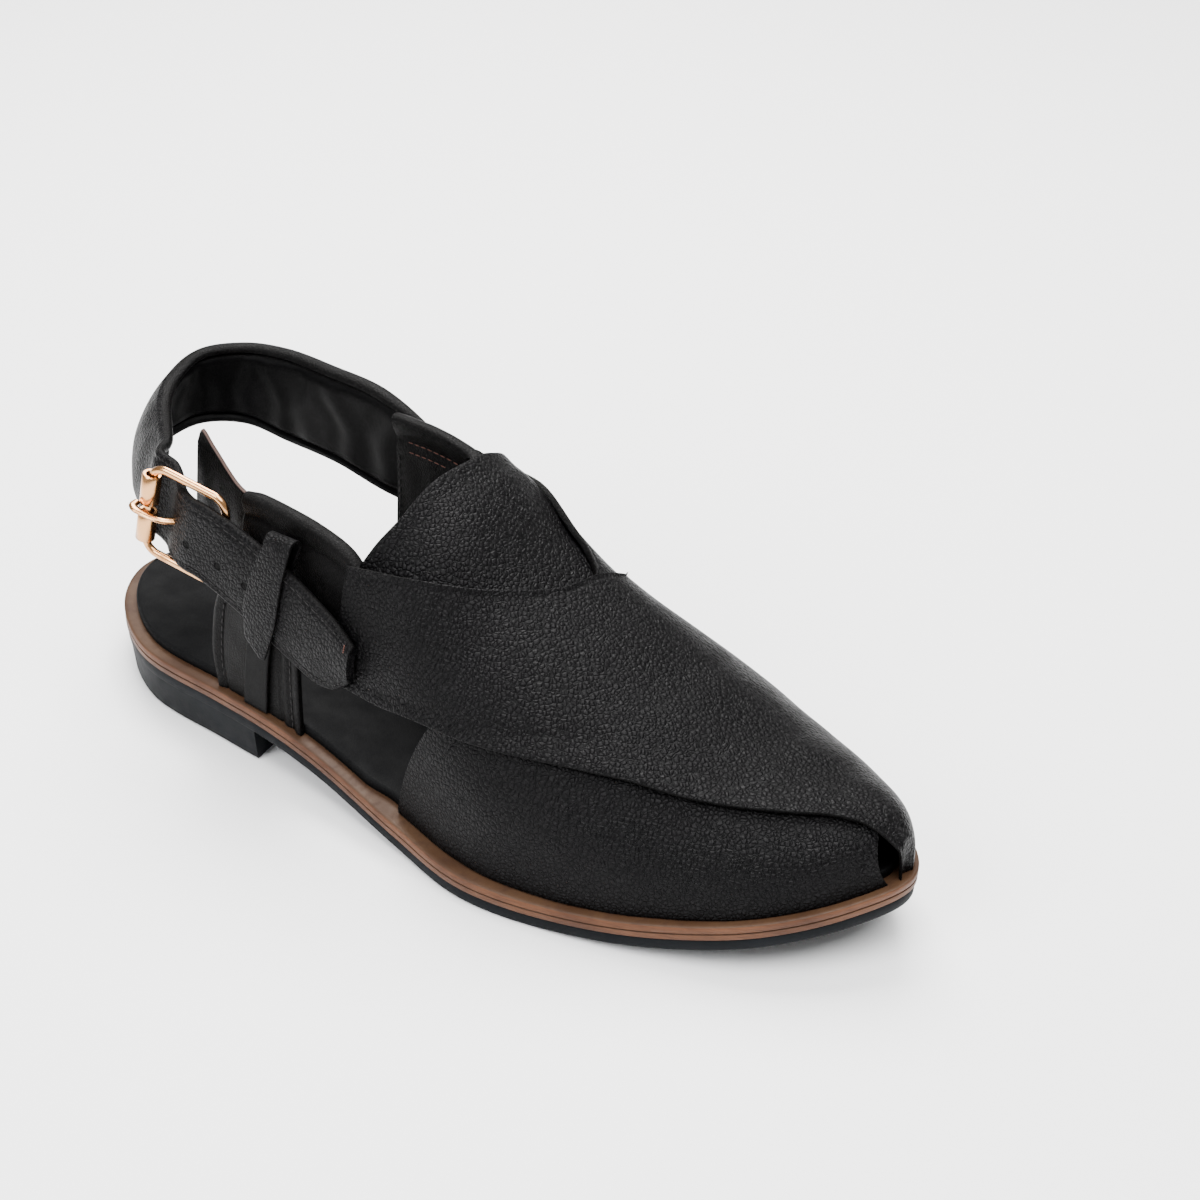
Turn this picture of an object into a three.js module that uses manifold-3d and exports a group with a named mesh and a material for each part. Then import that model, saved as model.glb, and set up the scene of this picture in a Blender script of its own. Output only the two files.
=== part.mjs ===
// Peshawari chappal, right shoe: two crossing leather bands on a welted sole, with a buckled back strap.
// Millimetres. X runs to the toe, Y to the inside of the foot, Z up. Heights start at the floor.
import * as THREE from 'three';
import { mergeVertices } from 'three/addons/utils/BufferGeometryUtils.js';
import Module from 'manifold-3d';

const wasm = await Module();
wasm.setup();

// Driving sizes of the sole
const SOLE_LENGTH = 290;
const BALL_WIDTH = 104;
const HEEL_WIDTH = 71;
const HEEL_HEIGHT = 15.6;
const OUTSOLE_THICKNESS = 3.9;
const TOE_SPRING = 17.5;
const MIDSOLE_THICKNESS = 4.7;
const INSOLE_THICKNESS = 3.0;
const LEDGE_WIDTH = 4.3;
const BREAST_AT = 87;
const BREAST_HOLLOW = 3;
const HEEL_TAPER = 1.6;
const GROOVE_DEPTH = 0.45;

// Driving sizes of the upper
const INSTEP_HEIGHT = 106;
const TONGUE_WALL = 1.6;
const UNDER_WALL = 1.9;
const TOP_WALL = 2.3;
const BAND_LAP = 1.1;
const TONGUE_PLAY = 0.8;
const COLLAR_WALL = 3.0;
const LEG_WALL = 1.6;
const GUARD_WALL = 1.6;
const KEEPER_WALL = 1.0;
const STRAP_PADDING = 4.6;
const BILLET_WALL = 3.0;
const COLLAR_HEIGHT = 88;
const BUCKLE_LENGTH = 28;
const BUCKLE_HEIGHT = 33;
const BUCKLE_BAR = 2.4;
const ROLLER_RADIUS = 3.0;
const PRONG_WIDTH = 2.4;

// Gap kept between pieces that meet
const GLUE_GAP = 0.3;

// Colours and finishes
const FINISH = {
  leather: { color: 0x26262a, roughness: 0.55, metalness: 0 },
  lining: { color: 0x1e1f22, roughness: 0.4, metalness: 0 },
  rubber: { color: 0x1d2024, roughness: 0.7, metalness: 0 },
  welt: { color: 0x84604c, roughness: 0.65, metalness: 0 },
  gold: { color: 0xcda982, roughness: 0.25, metalness: 1 },
};

// Half outline of the sole: place as a share of the length, reach as shares of the heel or ball width
const HEEL_ROWS = [
  { at: 0.03, lateral: 0.25, medial: 0.32 },
  { at: 0.12, lateral: 0.505, medial: 0.49 },
  { at: 0.25, lateral: 0.56, medial: 0.455 },
];
const BALL_ROWS = [
  { at: 0.40, lateral: 0.410, medial: 0.272 },
  { at: 0.52, lateral: 0.464, medial: 0.314 },
  { at: 0.62, lateral: 0.513, medial: 0.420 },
  { at: 0.72, lateral: 0.470, medial: 0.484 },
  { at: 0.82, lateral: 0.388, medial: 0.453 },
  { at: 0.91, lateral: 0.266, medial: 0.352 },
  { at: 0.97, lateral: 0.105, medial: 0.226 },
];
const HEEL_BACK_SHIFT = 0.03;
const TIP_SHIFT = 0.063;

// Side profile of the sole, as shares of the length
const PROFILE = { heelEnd: 0.27, ballStart: 0.593, springStart: 0.672, springPower: 1.8 };

// Cross sections of the last. ridge: shares of the instep height above the midsole, spine: shares of the
// ball width, full: squareness of each side, belly: bulge of each side as a share of the ball width
const LAST_ROWS = [
  { at: 0.20, ridge: 1.13, spine: 0.02, fullOut: 2.4, fullIn: 2.6, bellyOut: 0.00, bellyIn: 0.00 },
  { at: 0.34, ridge: 1.00, spine: 0.03, fullOut: 2.4, fullIn: 2.8, bellyOut: 0.00, bellyIn: 0.055 },
  { at: 0.42, ridge: 0.895, spine: 0.06, fullOut: 2.5, fullIn: 3.3, bellyOut: 0.005, bellyIn: 0.065 },
  { at: 0.50, ridge: 0.81, spine: 0.12, fullOut: 2.6, fullIn: 3.3, bellyOut: 0.01, bellyIn: 0.055 },
  { at: 0.56, ridge: 0.685, spine: 0.125, fullOut: 2.5, fullIn: 2.8, bellyOut: 0.01, bellyIn: 0.03 },
  { at: 0.62, ridge: 0.585, spine: 0.125, fullOut: 2.4, fullIn: 2.4, bellyOut: 0.01, bellyIn: 0.01 },
  { at: 0.68, ridge: 0.50, spine: 0.125, fullOut: 2.3, fullIn: 2.3, bellyOut: 0.01, bellyIn: 0.01 },
  { at: 0.74, ridge: 0.42, spine: 0.125, fullOut: 2.3, fullIn: 2.3, bellyOut: 0.01, bellyIn: 0.01 },
  { at: 0.82, ridge: 0.307, spine: 0.115, fullOut: 2.2, fullIn: 2.2, bellyOut: 0.01, bellyIn: 0.01 },
  { at: 0.90, ridge: 0.217, spine: 0.105, fullOut: 2.2, fullIn: 2.2, bellyOut: 0.005, bellyIn: 0.005 },
  { at: 0.96, ridge: 0.150, spine: 0.087, fullOut: 2.2, fullIn: 2.2, bellyOut: 0.00, bellyIn: 0.00 },
  { at: 0.985, ridge: 0.075, spine: 0.077, fullOut: 2.2, fullIn: 2.2, bellyOut: 0.00, bellyIn: 0.00 },
  { at: 1.00, ridge: 0.030, spine: 0.077, fullOut: 2.2, fullIn: 2.2, bellyOut: 0.00, bellyIn: 0.00 },
];
// Distance from the sole's edge in to the last's feather line
const FEATHER = { rear: 6.5, toe: 5.0, from: 0.55, to: 0.80 };

// Layers over the last, inner face of each
const UNDER_LAYER = 0.3;
const TONGUE_LAYER = UNDER_LAYER - TONGUE_PLAY - TONGUE_WALL;
const TOP_LAYER = UNDER_LAYER + UNDER_WALL - BAND_LAP;
const COLLAR_LAYER = TOP_LAYER - GLUE_GAP - COLLAR_WALL;
const MEDIAL_COLLAR_LAYER = UNDER_LAYER - GLUE_GAP - COLLAR_WALL;
const LEG_LAYER = COLLAR_LAYER + COLLAR_WALL + GLUE_GAP;
const MEDIAL_LEG_LAYER = MEDIAL_COLLAR_LAYER + COLLAR_WALL + GLUE_GAP;
const GUARD_LAYER = COLLAR_LAYER - GLUE_GAP - GUARD_WALL;
const KEEPER_LAYER = LEG_LAYER + LEG_WALL + GLUE_GAP;
const BILLET_LAYER = KEEPER_LAYER + KEEPER_WALL + 2 * GLUE_GAP;
const LOOP_LAYER = BILLET_LAYER + BILLET_WALL + 2 * GLUE_GAP;

// Edges of the bands on the last. at: share of the length, turn: -1 outside feather, 0 ridge, 1 inside feather
const TOP_BAND = [
  { freeAt: 0.981, freeTurn: -0.580, heldAt: 0.9825, heldTurn: 0.98 },
  { freeAt: 0.977, freeTurn: -0.360, heldAt: 0.9720, heldTurn: 1.00 },
  { freeAt: 0.963, freeTurn: -0.270, heldAt: 0.9450, heldTurn: 1.00 },
  { freeAt: 0.945, freeTurn: -0.235, heldAt: 0.9050, heldTurn: 1.00 },
  { freeAt: 0.920, freeTurn: -0.250, heldAt: 0.8500, heldTurn: 1.00 },
  { freeAt: 0.885, freeTurn: -0.310, heldAt: 0.7700, heldTurn: 1.00 },
  { freeAt: 0.845, freeTurn: -0.370, heldAt: 0.6800, heldTurn: 1.00 },
  { freeAt: 0.800, freeTurn: -0.420, heldAt: 0.5900, heldTurn: 1.00 },
  { freeAt: 0.750, freeTurn: -0.465, heldAt: 0.5050, heldTurn: 1.00 },
  { freeAt: 0.720, freeTurn: -0.500, heldAt: 0.5600, heldTurn: 0.76 },
  { freeAt: 0.685, freeTurn: -0.540, heldAt: 0.5970, heldTurn: 0.47 },
  { freeAt: 0.650, freeTurn: -0.585, heldAt: 0.6120, heldTurn: 0.20 },
  { freeAt: 0.610, freeTurn: -0.640, heldAt: 0.6000, heldTurn: -0.04 },
  { freeAt: 0.560, freeTurn: -0.710, heldAt: 0.5620, heldTurn: -0.23 },
  { freeAt: 0.490, freeTurn: -0.810, heldAt: 0.5000, heldTurn: -0.44 },
  { freeAt: 0.424, freeTurn: -0.850, heldAt: 0.4220, heldTurn: -0.57 },
];
const UNDER_BAND = [
  { freeAt: 0.957, freeTurn: -0.280, heldAt: 0.9740, heldTurn: -0.98 },
  { freeAt: 0.945, freeTurn: -0.100, heldAt: 0.9550, heldTurn: -1.00 },
  { freeAt: 0.930, freeTurn: 0.060, heldAt: 0.9250, heldTurn: -1.00 },
  { freeAt: 0.910, freeTurn: 0.190, heldAt: 0.8800, heldTurn: -1.00 },
  { freeAt: 0.885, freeTurn: 0.290, heldAt: 0.8200, heldTurn: -1.00 },
  { freeAt: 0.850, freeTurn: 0.360, heldAt: 0.7400, heldTurn: -1.00 },
  { freeAt: 0.810, freeTurn: 0.410, heldAt: 0.6600, heldTurn: -1.00 },
  { freeAt: 0.770, freeTurn: 0.450, heldAt: 0.5850, heldTurn: -1.00 },
  { freeAt: 0.730, freeTurn: 0.490, heldAt: 0.5120, heldTurn: -1.00 },
  { freeAt: 0.700, freeTurn: 0.520, heldAt: 0.5650, heldTurn: -0.82 },
  { freeAt: 0.665, freeTurn: 0.560, heldAt: 0.5940, heldTurn: -0.60 },
  { freeAt: 0.630, freeTurn: 0.600, heldAt: 0.6070, heldTurn: -0.30 },
  { freeAt: 0.590, freeTurn: 0.660, heldAt: 0.6060, heldTurn: -0.02 },
  { freeAt: 0.550, freeTurn: 0.710, heldAt: 0.5770, heldTurn: 0.15 },
  { freeAt: 0.490, freeTurn: 0.800, heldAt: 0.5200, heldTurn: 0.30 },
  { freeAt: 0.415, freeTurn: 0.860, heldAt: 0.4200, heldTurn: 0.55 },
];
const BAND_STEPS = 30;
const BAND_ACROSS = 12;

// Rear and front edge of the tongue across its turn over the instep
const TONGUE_ROWS = [
  { turn: -0.56, rear: 0.429, front: 0.560 },
  { turn: -0.49, rear: 0.438, front: 0.600 },
  { turn: -0.32, rear: 0.456, front: 0.630 },
  { turn: -0.14, rear: 0.462, front: 0.640 },
  { turn: 0.00, rear: 0.467, front: 0.645 },
  { turn: 0.14, rear: 0.468, front: 0.640 },
  { turn: 0.32, rear: 0.464, front: 0.630 },
  { turn: 0.47, rear: 0.446, front: 0.600 },
  { turn: 0.53, rear: 0.434, front: 0.560 },
];

// Side panels: place along the sole as a share of its length, heights as shares of the collar height
const LATERAL_COLLAR = [
  { at: 0.275, low: 0.62, high: 1.01 },
  { at: 0.295, low: 0.57, high: 1.02 },
  { at: 0.345, low: 0.55, high: 1.005 },
  { at: 0.385, low: 0.55, high: 0.98 },
  { at: 0.410, low: 0.55, high: 0.955 },
  { at: 0.422, low: 0.56, high: 0.91 },
  { at: 0.434, low: 0.59, high: 0.83 },
];
const MEDIAL_COLLAR = [
  { at: 0.325, low: 0.64, high: 1.115 },
  { at: 0.340, low: 0.60, high: 1.12 },
  { at: 0.365, low: 0.57, high: 1.12 },
  { at: 0.395, low: 0.55, high: 1.11 },
  { at: 0.412, low: 0.56, high: 1.095 },
  { at: 0.422, low: 0.60, high: 1.088 },
  { at: 0.428, low: 1.02, high: 1.082 },
  { at: 0.438, low: 1.045, high: 1.068 },
];
const LATERAL_LEG = [
  { rise: 0.0, rear: 0.243, front: 0.368, out: 1.3 },
  { rise: 0.35, rear: 0.236, front: 0.366, out: 0.8 },
  { rise: 0.7, rear: 0.240, front: 0.364, out: 0.3 },
  { rise: 1.0, rear: 0.252, front: 0.362, out: 0 },
];
const MEDIAL_LEG = [
  { rise: 0.0, rear: 0.350, front: 0.440, out: 2.4 },
  { rise: 0.35, rear: 0.348, front: 0.430, out: 1.6 },
  { rise: 0.7, rear: 0.344, front: 0.412, out: 0.5 },
  { rise: 1.0, rear: 0.340, front: 0.400, out: 0 },
];
const LEG_TOP = 0.66;
const GUARD_ROWS = [
  { at: 0.176, low: 0.80, high: 1.05, inward: 6.5 },
  { at: 0.184, low: 0.72, high: 1.09, inward: 5.6 },
  { at: 0.208, low: 0.68, high: 1.065, inward: 3.8 },
  { at: 0.255, low: 0.67, high: 0.99, inward: 1.0 },
  { at: 0.300, low: 0.68, high: 0.955, inward: 0 },
];

// Keeper strap up behind the billet, over its top edge and down its face to a point
const KEEPER_ROWS = [
  { rise: 0.21, rear: 0.286, front: 0.320 },
  { rise: 0.45, rear: 0.292, front: 0.325 },
  { rise: 0.75, rear: 0.312, front: 0.347 },
  { rise: 0.93, rear: 0.330, front: 0.364 },
];
const KEEPER_FACE = [
  { rise: 0.93, rear: 0.330, front: 0.364 },
  { rise: 0.80, rear: 0.315, front: 0.356 },
  { rise: 0.66, rear: 0.305, front: 0.350 },
  { rise: 0.57, rear: 0.306, front: 0.342 },
  { rise: 0.50, rear: 0.326, front: 0.334 },
];

// The back strap from the inside quarter round the heel to the buckle: both edges as shares of the sole's
// length, the heel's width and the collar's height, bulge of its face, thickness as a share of the padding
const STRAP_ROWS = [
  { lowX: 0.3793, lowY: 0.4507, lowZ: 0.6932, highX: 0.3793, highY: 0.4085, highZ: 1.0, bulge: 1.2, thick: 0.45 },
  { lowX: 0.3448, lowY: 0.4718, lowZ: 0.6932, highX: 0.3448, highY: 0.4437, highZ: 1.05, bulge: 1.0, thick: 0.60 },
  { lowX: 0.2759, lowY: 0.493, lowZ: 0.6989, highX: 0.2759, highY: 0.4718, highZ: 1.1136, bulge: 0.5, thick: 1.0 },
  { lowX: 0.2069, lowY: 0.493, lowZ: 0.7386, highX: 0.2069, highY: 0.4789, highZ: 1.125, bulge: 0.5, thick: 1.0 },
  { lowX: 0.1379, lowY: 0.4789, lowZ: 0.7557, highX: 0.1379, highY: 0.4718, highZ: 1.1307, bulge: 1.0, thick: 1.0 },
  { lowX: 0.0862, lowY: 0.4085, lowZ: 0.8011, highX: 0.0931, highY: 0.4014, highZ: 1.1307, bulge: 2.0, thick: 1.0 },
  { lowX: 0.0483, lowY: 0.2535, lowZ: 0.8125, highX: 0.0621, highY: 0.2465, highZ: 1.1193, bulge: 3.0, thick: 1.0 },
  { lowX: 0.0362, lowY: 0.0704, lowZ: 0.7898, highX: 0.0621, highY: 0.0845, highZ: 1.0739, bulge: 3.5, thick: 1.0 },
  { lowX: 0.0517, lowY: -0.1268, lowZ: 0.7727, highX: 0.0828, highY: -0.0563, highZ: 1.0511, bulge: 3.5, thick: 1.0 },
  { lowX: 0.0793, lowY: -0.2676, lowZ: 0.7557, highX: 0.1138, highY: -0.1831, highZ: 1.0398, bulge: 3.0, thick: 0.95 },
  { lowX: 0.1138, lowY: -0.3803, lowZ: 0.7443, highX: 0.1448, highY: -0.3099, highZ: 1.0398, bulge: 1.5, thick: 0.8 },
];
// Its way through the buckle, in the plane of the frame: along it, out from it, and its top edge inward
const PASS_ROWS = [
  { along: -5, out: -6.0, lean: 5.0 },
  { along: 2, out: -5.4, lean: 3.5 },
  { along: 7, out: -3.4, lean: 1.0 },
  { along: 11, out: 0.0, lean: 0 },
  { along: 16, out: 2.6, lean: 0 },
  { along: 23, out: 3.2, lean: 0 },
];
const BILLET_WIDTH = 26;
const BILLET_ROWS = [
  { at: 0.300, low: 0.605, high: 0.915 },
  { at: 0.350, low: 0.545, high: 0.86 },
  { at: 0.400, low: 0.495, high: 0.79 },
  { at: 0.430, low: 0.51, high: 0.745 },
  { at: 0.452, low: 0.57, high: 0.70 },
];
const STRAP_STEPS = 54;
const STRAP_CORNER = 0.3;

// Buckle: middle of its rear bar, the way its bars point up, and the way it points to the toe
const BUCKLE_AT = { length: 0.1707, width: -0.5563, height: 0.892 };
const BUCKLE_UP = { x: 6, y: 1.5, z: 28 };
const BUCKLE_AHEAD = { x: 33, y: 5, z: -7.3 };
const BUCKLE_CORNER = 5;
const ROLLER_BORE = 1.95;
const SLOT = { from: 6.5, to: 15.5, height: 3.6 };

// Smooth column of a table, as a function of its first column
function column(rows, key, name) {
  const x = rows.map((row) => row[key]);
  const y = rows.map((row) => row[name]);
  const count = x.length;
  const rise = x.slice(1).map((value, i) => (y[i + 1] - y[i]) / (value - x[i]));
  const slope = x.map((value, i) => {
    if (i === 0) return rise[0];
    if (i === count - 1) return rise[count - 2];
    if (rise[i - 1] * rise[i] <= 0) return 0;
    return (2 * rise[i - 1] * rise[i]) / (rise[i - 1] + rise[i]);
  });
  return (value) => {
    const v = Math.min(Math.max(value, x[0]), x[count - 1]);
    let i = 0;
    while (i < count - 2 && v > x[i + 1]) i += 1;
    const width = x[i + 1] - x[i];
    const t = (v - x[i]) / width;
    const a = (1 + 2 * t) * (1 - t) * (1 - t);
    const b = t * (1 - t) * (1 - t) * width;
    const c = t * t * (3 - 2 * t);
    const d = t * t * (t - 1) * width;
    return a * y[i] + b * slope[i] + c * y[i + 1] + d * slope[i + 1];
  };
}

function smoothStep(value, from, to) {
  const t = Math.min(Math.max((value - from) / (to - from), 0), 1);
  return t * t * (3 - 2 * t);
}

// Outline of the sole, a closed curve from the heel's back along the outside to the tip and home
const outlineRows = [
  ...HEEL_ROWS.map((row) => ({ ...row, width: HEEL_WIDTH })),
  ...BALL_ROWS.map((row) => ({ ...row, width: BALL_WIDTH })),
];
const outlineCurve = new THREE.CatmullRomCurve3([
  new THREE.Vector3(0, HEEL_BACK_SHIFT * HEEL_WIDTH, 0),
  ...outlineRows.map((row) => new THREE.Vector3(row.at * SOLE_LENGTH, -row.lateral * row.width, 0)),
  new THREE.Vector3(SOLE_LENGTH, TIP_SHIFT * BALL_WIDTH, 0),
  ...outlineRows.map((row) => new THREE.Vector3(row.at * SOLE_LENGTH, row.medial * row.width, 0)).reverse(),
], true, 'centripetal');

function outlinePoint(share, inset) {
  const point = outlineCurve.getPoint(share);
  const ahead = outlineCurve.getPoint((share + 0.001) % 1);
  const behind = outlineCurve.getPoint((share + 0.999) % 1);
  const along = ahead.sub(behind).normalize();
  const depth = typeof inset === 'function' ? inset(point.x / SOLE_LENGTH) : inset;
  return new THREE.Vector2(point.x - along.y * depth, point.y + along.x * depth);
}

// Pairs of outline points, outside and inside of the foot, from heel to tip
const OUTLINE_STEPS = 36;
function outlinePairs(inset, steps = OUTLINE_STEPS) {
  return Array.from({ length: steps + 1 }, (unused, i) => ({
    lateral: outlinePoint((0.5 * i) / steps, inset),
    medial: outlinePoint((1 - (0.5 * i) / steps) % 1, inset),
  }));
}

// Heights along the sole
function soleTop(x) {
  const share = x / SOLE_LENGTH;
  const drop = (HEEL_HEIGHT - OUTSOLE_THICKNESS) * smoothStep(share, PROFILE.heelEnd, PROFILE.ballStart);
  const rise = Math.max((share - PROFILE.springStart) / (1 - PROFILE.springStart), 0);
  return HEEL_HEIGHT - drop + TOE_SPRING * rise ** PROFILE.springPower;
}
const seatHeight = (x) => soleTop(x) + GLUE_GAP + MIDSOLE_THICKNESS;

// Closed solids from lists of points
function solidFrom(points, faces) {
  const geometry = new THREE.BufferGeometry();
  geometry.setAttribute('position', new THREE.Float32BufferAttribute(points.flatMap((p) => [p.x, p.y, p.z]), 3));
  geometry.setIndex(faces.flat());
  let volume = 0;
  faces.forEach(([a, b, c]) => {
    volume += points[a].dot(new THREE.Vector3().crossVectors(points[b], points[c]));
  });
  if (volume < 0) geometry.setIndex(faces.map(([a, b, c]) => [a, c, b]).flat());
  geometry.computeVertexNormals();
  return geometry;
}

function toManifold(geometry) {
  const plain = geometry.clone();
  plain.deleteAttribute('normal');
  plain.deleteAttribute('uv');
  const merged = mergeVertices(plain, 1e-4);
  const index = merged.index.array;
  const kept = [];
  for (let i = 0; i < index.length; i += 3) {
    const [a, b, c] = [index[i], index[i + 1], index[i + 2]];
    if (a !== b && b !== c && a !== c) kept.push(a, b, c);
  }
  return new wasm.Manifold(new wasm.Mesh({
    numProp: 3,
    vertProperties: new Float32Array(merged.attributes.position.array),
    triVerts: new Uint32Array(kept),
  }));
}

function fromManifold(solid) {
  const mesh = solid.getMesh();
  const geometry = new THREE.BufferGeometry();
  geometry.setAttribute('position', new THREE.Float32BufferAttribute(mesh.vertProperties, 3));
  geometry.setIndex(Array.from(mesh.triVerts));
  geometry.computeVertexNormals();
  return geometry;
}

// Stack of outline rings, each with its inset and its height along the sole
function outlineStack(rings) {
  const points = [];
  const faces = [];
  const loop = 2 * OUTLINE_STEPS;
  rings.forEach((ring) => {
    const pairs = outlinePairs(ring.inset);
    pairs.forEach((pair) => points.push(new THREE.Vector3(pair.lateral.x, pair.lateral.y, ring.height(pair.lateral.x))));
    pairs.slice(1, -1).reverse().forEach((pair) => {
      points.push(new THREE.Vector3(pair.medial.x, pair.medial.y, ring.height(pair.medial.x)));
    });
  });
  rings.slice(1).forEach((ring, r) => {
    for (let i = 0; i < loop; i += 1) {
      const j = (i + 1) % loop;
      faces.push([r * loop + i, r * loop + j, (r + 1) * loop + j], [r * loop + i, (r + 1) * loop + j, (r + 1) * loop + i]);
    }
  });
  const cap = (start, flip) => {
    const add = (a, b, c) => faces.push(flip ? [a, c, b] : [a, b, c]);
    for (let i = 0; i < OUTLINE_STEPS; i += 1) {
      const [a, b] = [start + i, start + i + 1];
      const [c, d] = [start + ((loop - i) % loop), start + (loop - i - 1)];
      if (i > 0) add(a, b, c);
      if (i < OUTLINE_STEPS - 1) add(b, d, c);
    }
  };
  cap(0, true);
  cap((rings.length - 1) * loop, false);
  return solidFrom(points, faces);
}

// Feather line of the last on each side
const featherInset = (share) => FEATHER.rear + (FEATHER.toe - FEATHER.rear) * smoothStep(share, FEATHER.from, FEATHER.to);
const FEATHER_STEPS = 240;
const featherPairs = outlinePairs(featherInset, FEATHER_STEPS);
const featherTip = Math.min(featherPairs[FEATHER_STEPS].lateral.x, featherPairs[FEATHER_STEPS].medial.x);
function featherAt(x, side) {
  const name = side < 0 ? 'lateral' : 'medial';
  let low = 0;
  let high = FEATHER_STEPS;
  while (high - low > 1) {
    const middle = (low + high) >> 1;
    if (featherPairs[middle][name].x < x) low = middle;
    else high = middle;
  }
  const [a, b] = [featherPairs[low][name], featherPairs[high][name]];
  const t = Math.min(Math.max((x - a.x) / (b.x - a.x), 0), 1);
  return a.y + (b.y - a.y) * t;
}

const ridgeOf = column(LAST_ROWS, 'at', 'ridge');
const spineOf = column(LAST_ROWS, 'at', 'spine');
const fullOf = { out: column(LAST_ROWS, 'at', 'fullOut'), in: column(LAST_ROWS, 'at', 'fullIn') };
const bellyOf = { out: column(LAST_ROWS, 'at', 'bellyOut'), in: column(LAST_ROWS, 'at', 'bellyIn') };

// Section of the last at one place: spine, height and the half of the side asked for
function sectionAt(x, side) {
  const share = x / SOLE_LENGTH;
  const [left, right] = [featherAt(x, -1), featherAt(x, 1)];
  const half = (right - left) / 2;
  const spine = Math.min(Math.max(spineOf(share) * BALL_WIDTH, left + 0.25 * half), right - 0.25 * half);
  const key = side < 0 ? 'out' : 'in';
  return {
    spine,
    height: ridgeOf(share) * INSTEP_HEIGHT,
    reach: side < 0 ? spine - left : right - spine,
    full: fullOf[key](share),
    belly: bellyOf[key](share) * BALL_WIDTH,
  };
}

function lastPoint(x, turn) {
  const side = turn < 0 ? -1 : 1;
  const section = sectionAt(x, side);
  const angle = Math.min(Math.abs(turn), 1) * (Math.PI / 2);
  const reach = section.reach * Math.sin(angle) ** (2 / section.full) + section.belly * Math.sin(2 * angle);
  const lift = section.height * Math.max(Math.cos(angle), 0) ** (2 / section.full);
  return new THREE.Vector3(x, section.spine + side * reach, seatHeight(x) + GLUE_GAP + lift);
}

// Point a given distance outside the last
function shellPoint(share, turn, layer) {
  const x = Math.min(share * SOLE_LENGTH, featherTip - 0.4);
  const point = lastPoint(x, turn);
  const along = lastPoint(Math.min(x + 0.5, featherTip), turn).sub(lastPoint(x - 0.5, turn));
  const over = lastPoint(x, Math.min(turn + 0.02, 1)).sub(lastPoint(x, Math.max(turn - 0.02, -1)));
  const normal = new THREE.Vector3().crossVectors(along, over).normalize();
  if (Math.abs(turn) > 0.999) normal.setZ(0).normalize();
  point.addScaledVector(normal, layer);
  point.z = Math.max(point.z, seatHeight(point.x) + GLUE_GAP);
  return point;
}

// Point on the side wall of the last at a height above the floor
function wallPoint(x, height, side, layer) {
  const section = sectionAt(x, side);
  const lift = Math.min(Math.max((height - seatHeight(x)) / section.height, 0), 0.98);
  const angle = Math.acos(lift ** (section.full / 2));
  const reach = section.reach * Math.sin(angle) ** (2 / section.full) + section.belly * Math.sin(2 * angle);
  return new THREE.Vector3(x, section.spine + side * (reach + layer), height);
}

// Closed sheet between an inner and an outer grid of points
function sheet(rows, columns, pointAt) {
  const points = [];
  const faces = [];
  const layer = (rows + 1) * (columns + 1);
  [0, 1].forEach((face) => {
    for (let i = 0; i <= rows; i += 1) {
      for (let j = 0; j <= columns; j += 1) points.push(pointAt(i / rows, j / columns, face));
    }
  });
  const at = (face, i, j) => face * layer + i * (columns + 1) + j;
  const quad = (a, b, c, d) => faces.push([a, b, c], [a, c, d]);
  for (let i = 0; i < rows; i += 1) {
    for (let j = 0; j < columns; j += 1) {
      quad(at(1, i, j), at(1, i + 1, j), at(1, i + 1, j + 1), at(1, i, j + 1));
      quad(at(0, i, j), at(0, i, j + 1), at(0, i + 1, j + 1), at(0, i + 1, j));
    }
    quad(at(0, i, 0), at(0, i + 1, 0), at(1, i + 1, 0), at(1, i, 0));
    quad(at(0, i + 1, columns), at(0, i, columns), at(1, i, columns), at(1, i + 1, columns));
  }
  for (let j = 0; j < columns; j += 1) {
    quad(at(0, 0, j + 1), at(0, 0, j), at(1, 0, j), at(1, 0, j + 1));
    quad(at(0, rows, j), at(0, rows, j + 1), at(1, rows, j + 1), at(1, rows, j));
  }
  return solidFrom(points, faces);
}

function band(rows, innerLayer, wall) {
  const indexed = rows.map((row, i) => ({ ...row, step: i / (rows.length - 1) }));
  const names = ['freeAt', 'freeTurn', 'heldAt', 'heldTurn'];
  const [freeAt, freeTurn, heldAt, heldTurn] = names.map((name) => column(indexed, 'step', name));
  return sheet(BAND_STEPS, BAND_ACROSS, (s, t, face) => {
    const at = freeAt(s) + (heldAt(s) - freeAt(s)) * t;
    const turn = freeTurn(s) + (heldTurn(s) - freeTurn(s)) * t;
    return shellPoint(at, turn, innerLayer + face * wall);
  });
}

function makeUpper() {
  const under = toManifold(band(UNDER_BAND, UNDER_LAYER, UNDER_WALL));
  const top = toManifold(band(TOP_BAND, TOP_LAYER, TOP_WALL));
  return fromManifold(under.add(top));
}

function makeTongue() {
  const rear = column(TONGUE_ROWS, 'turn', 'rear');
  const front = column(TONGUE_ROWS, 'turn', 'front');
  const first = TONGUE_ROWS[0].turn;
  const last = TONGUE_ROWS[TONGUE_ROWS.length - 1].turn;
  return sheet(16, 8, (s, t, face) => {
    const turn = first + (last - first) * s;
    return shellPoint(rear(turn) + (front(turn) - rear(turn)) * t, turn, TONGUE_LAYER + face * TONGUE_WALL);
  });
}

// Wall panel given by rows along the sole
function longPanel(rows, side, innerLayer, wall, steps, across) {
  const low = column(rows, 'at', 'low');
  const high = column(rows, 'at', 'high');
  const inward = rows[0].inward === undefined ? () => 0 : column(rows, 'at', 'inward');
  const [from, to] = [rows[0].at, rows[rows.length - 1].at];
  return sheet(steps, across, (s, t, face) => {
    const at = from + (to - from) * s;
    const height = (low(at) + (high(at) - low(at)) * t) * COLLAR_HEIGHT;
    return wallPoint(at * SOLE_LENGTH, height, side, innerLayer - inward(at) + face * wall);
  });
}

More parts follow.
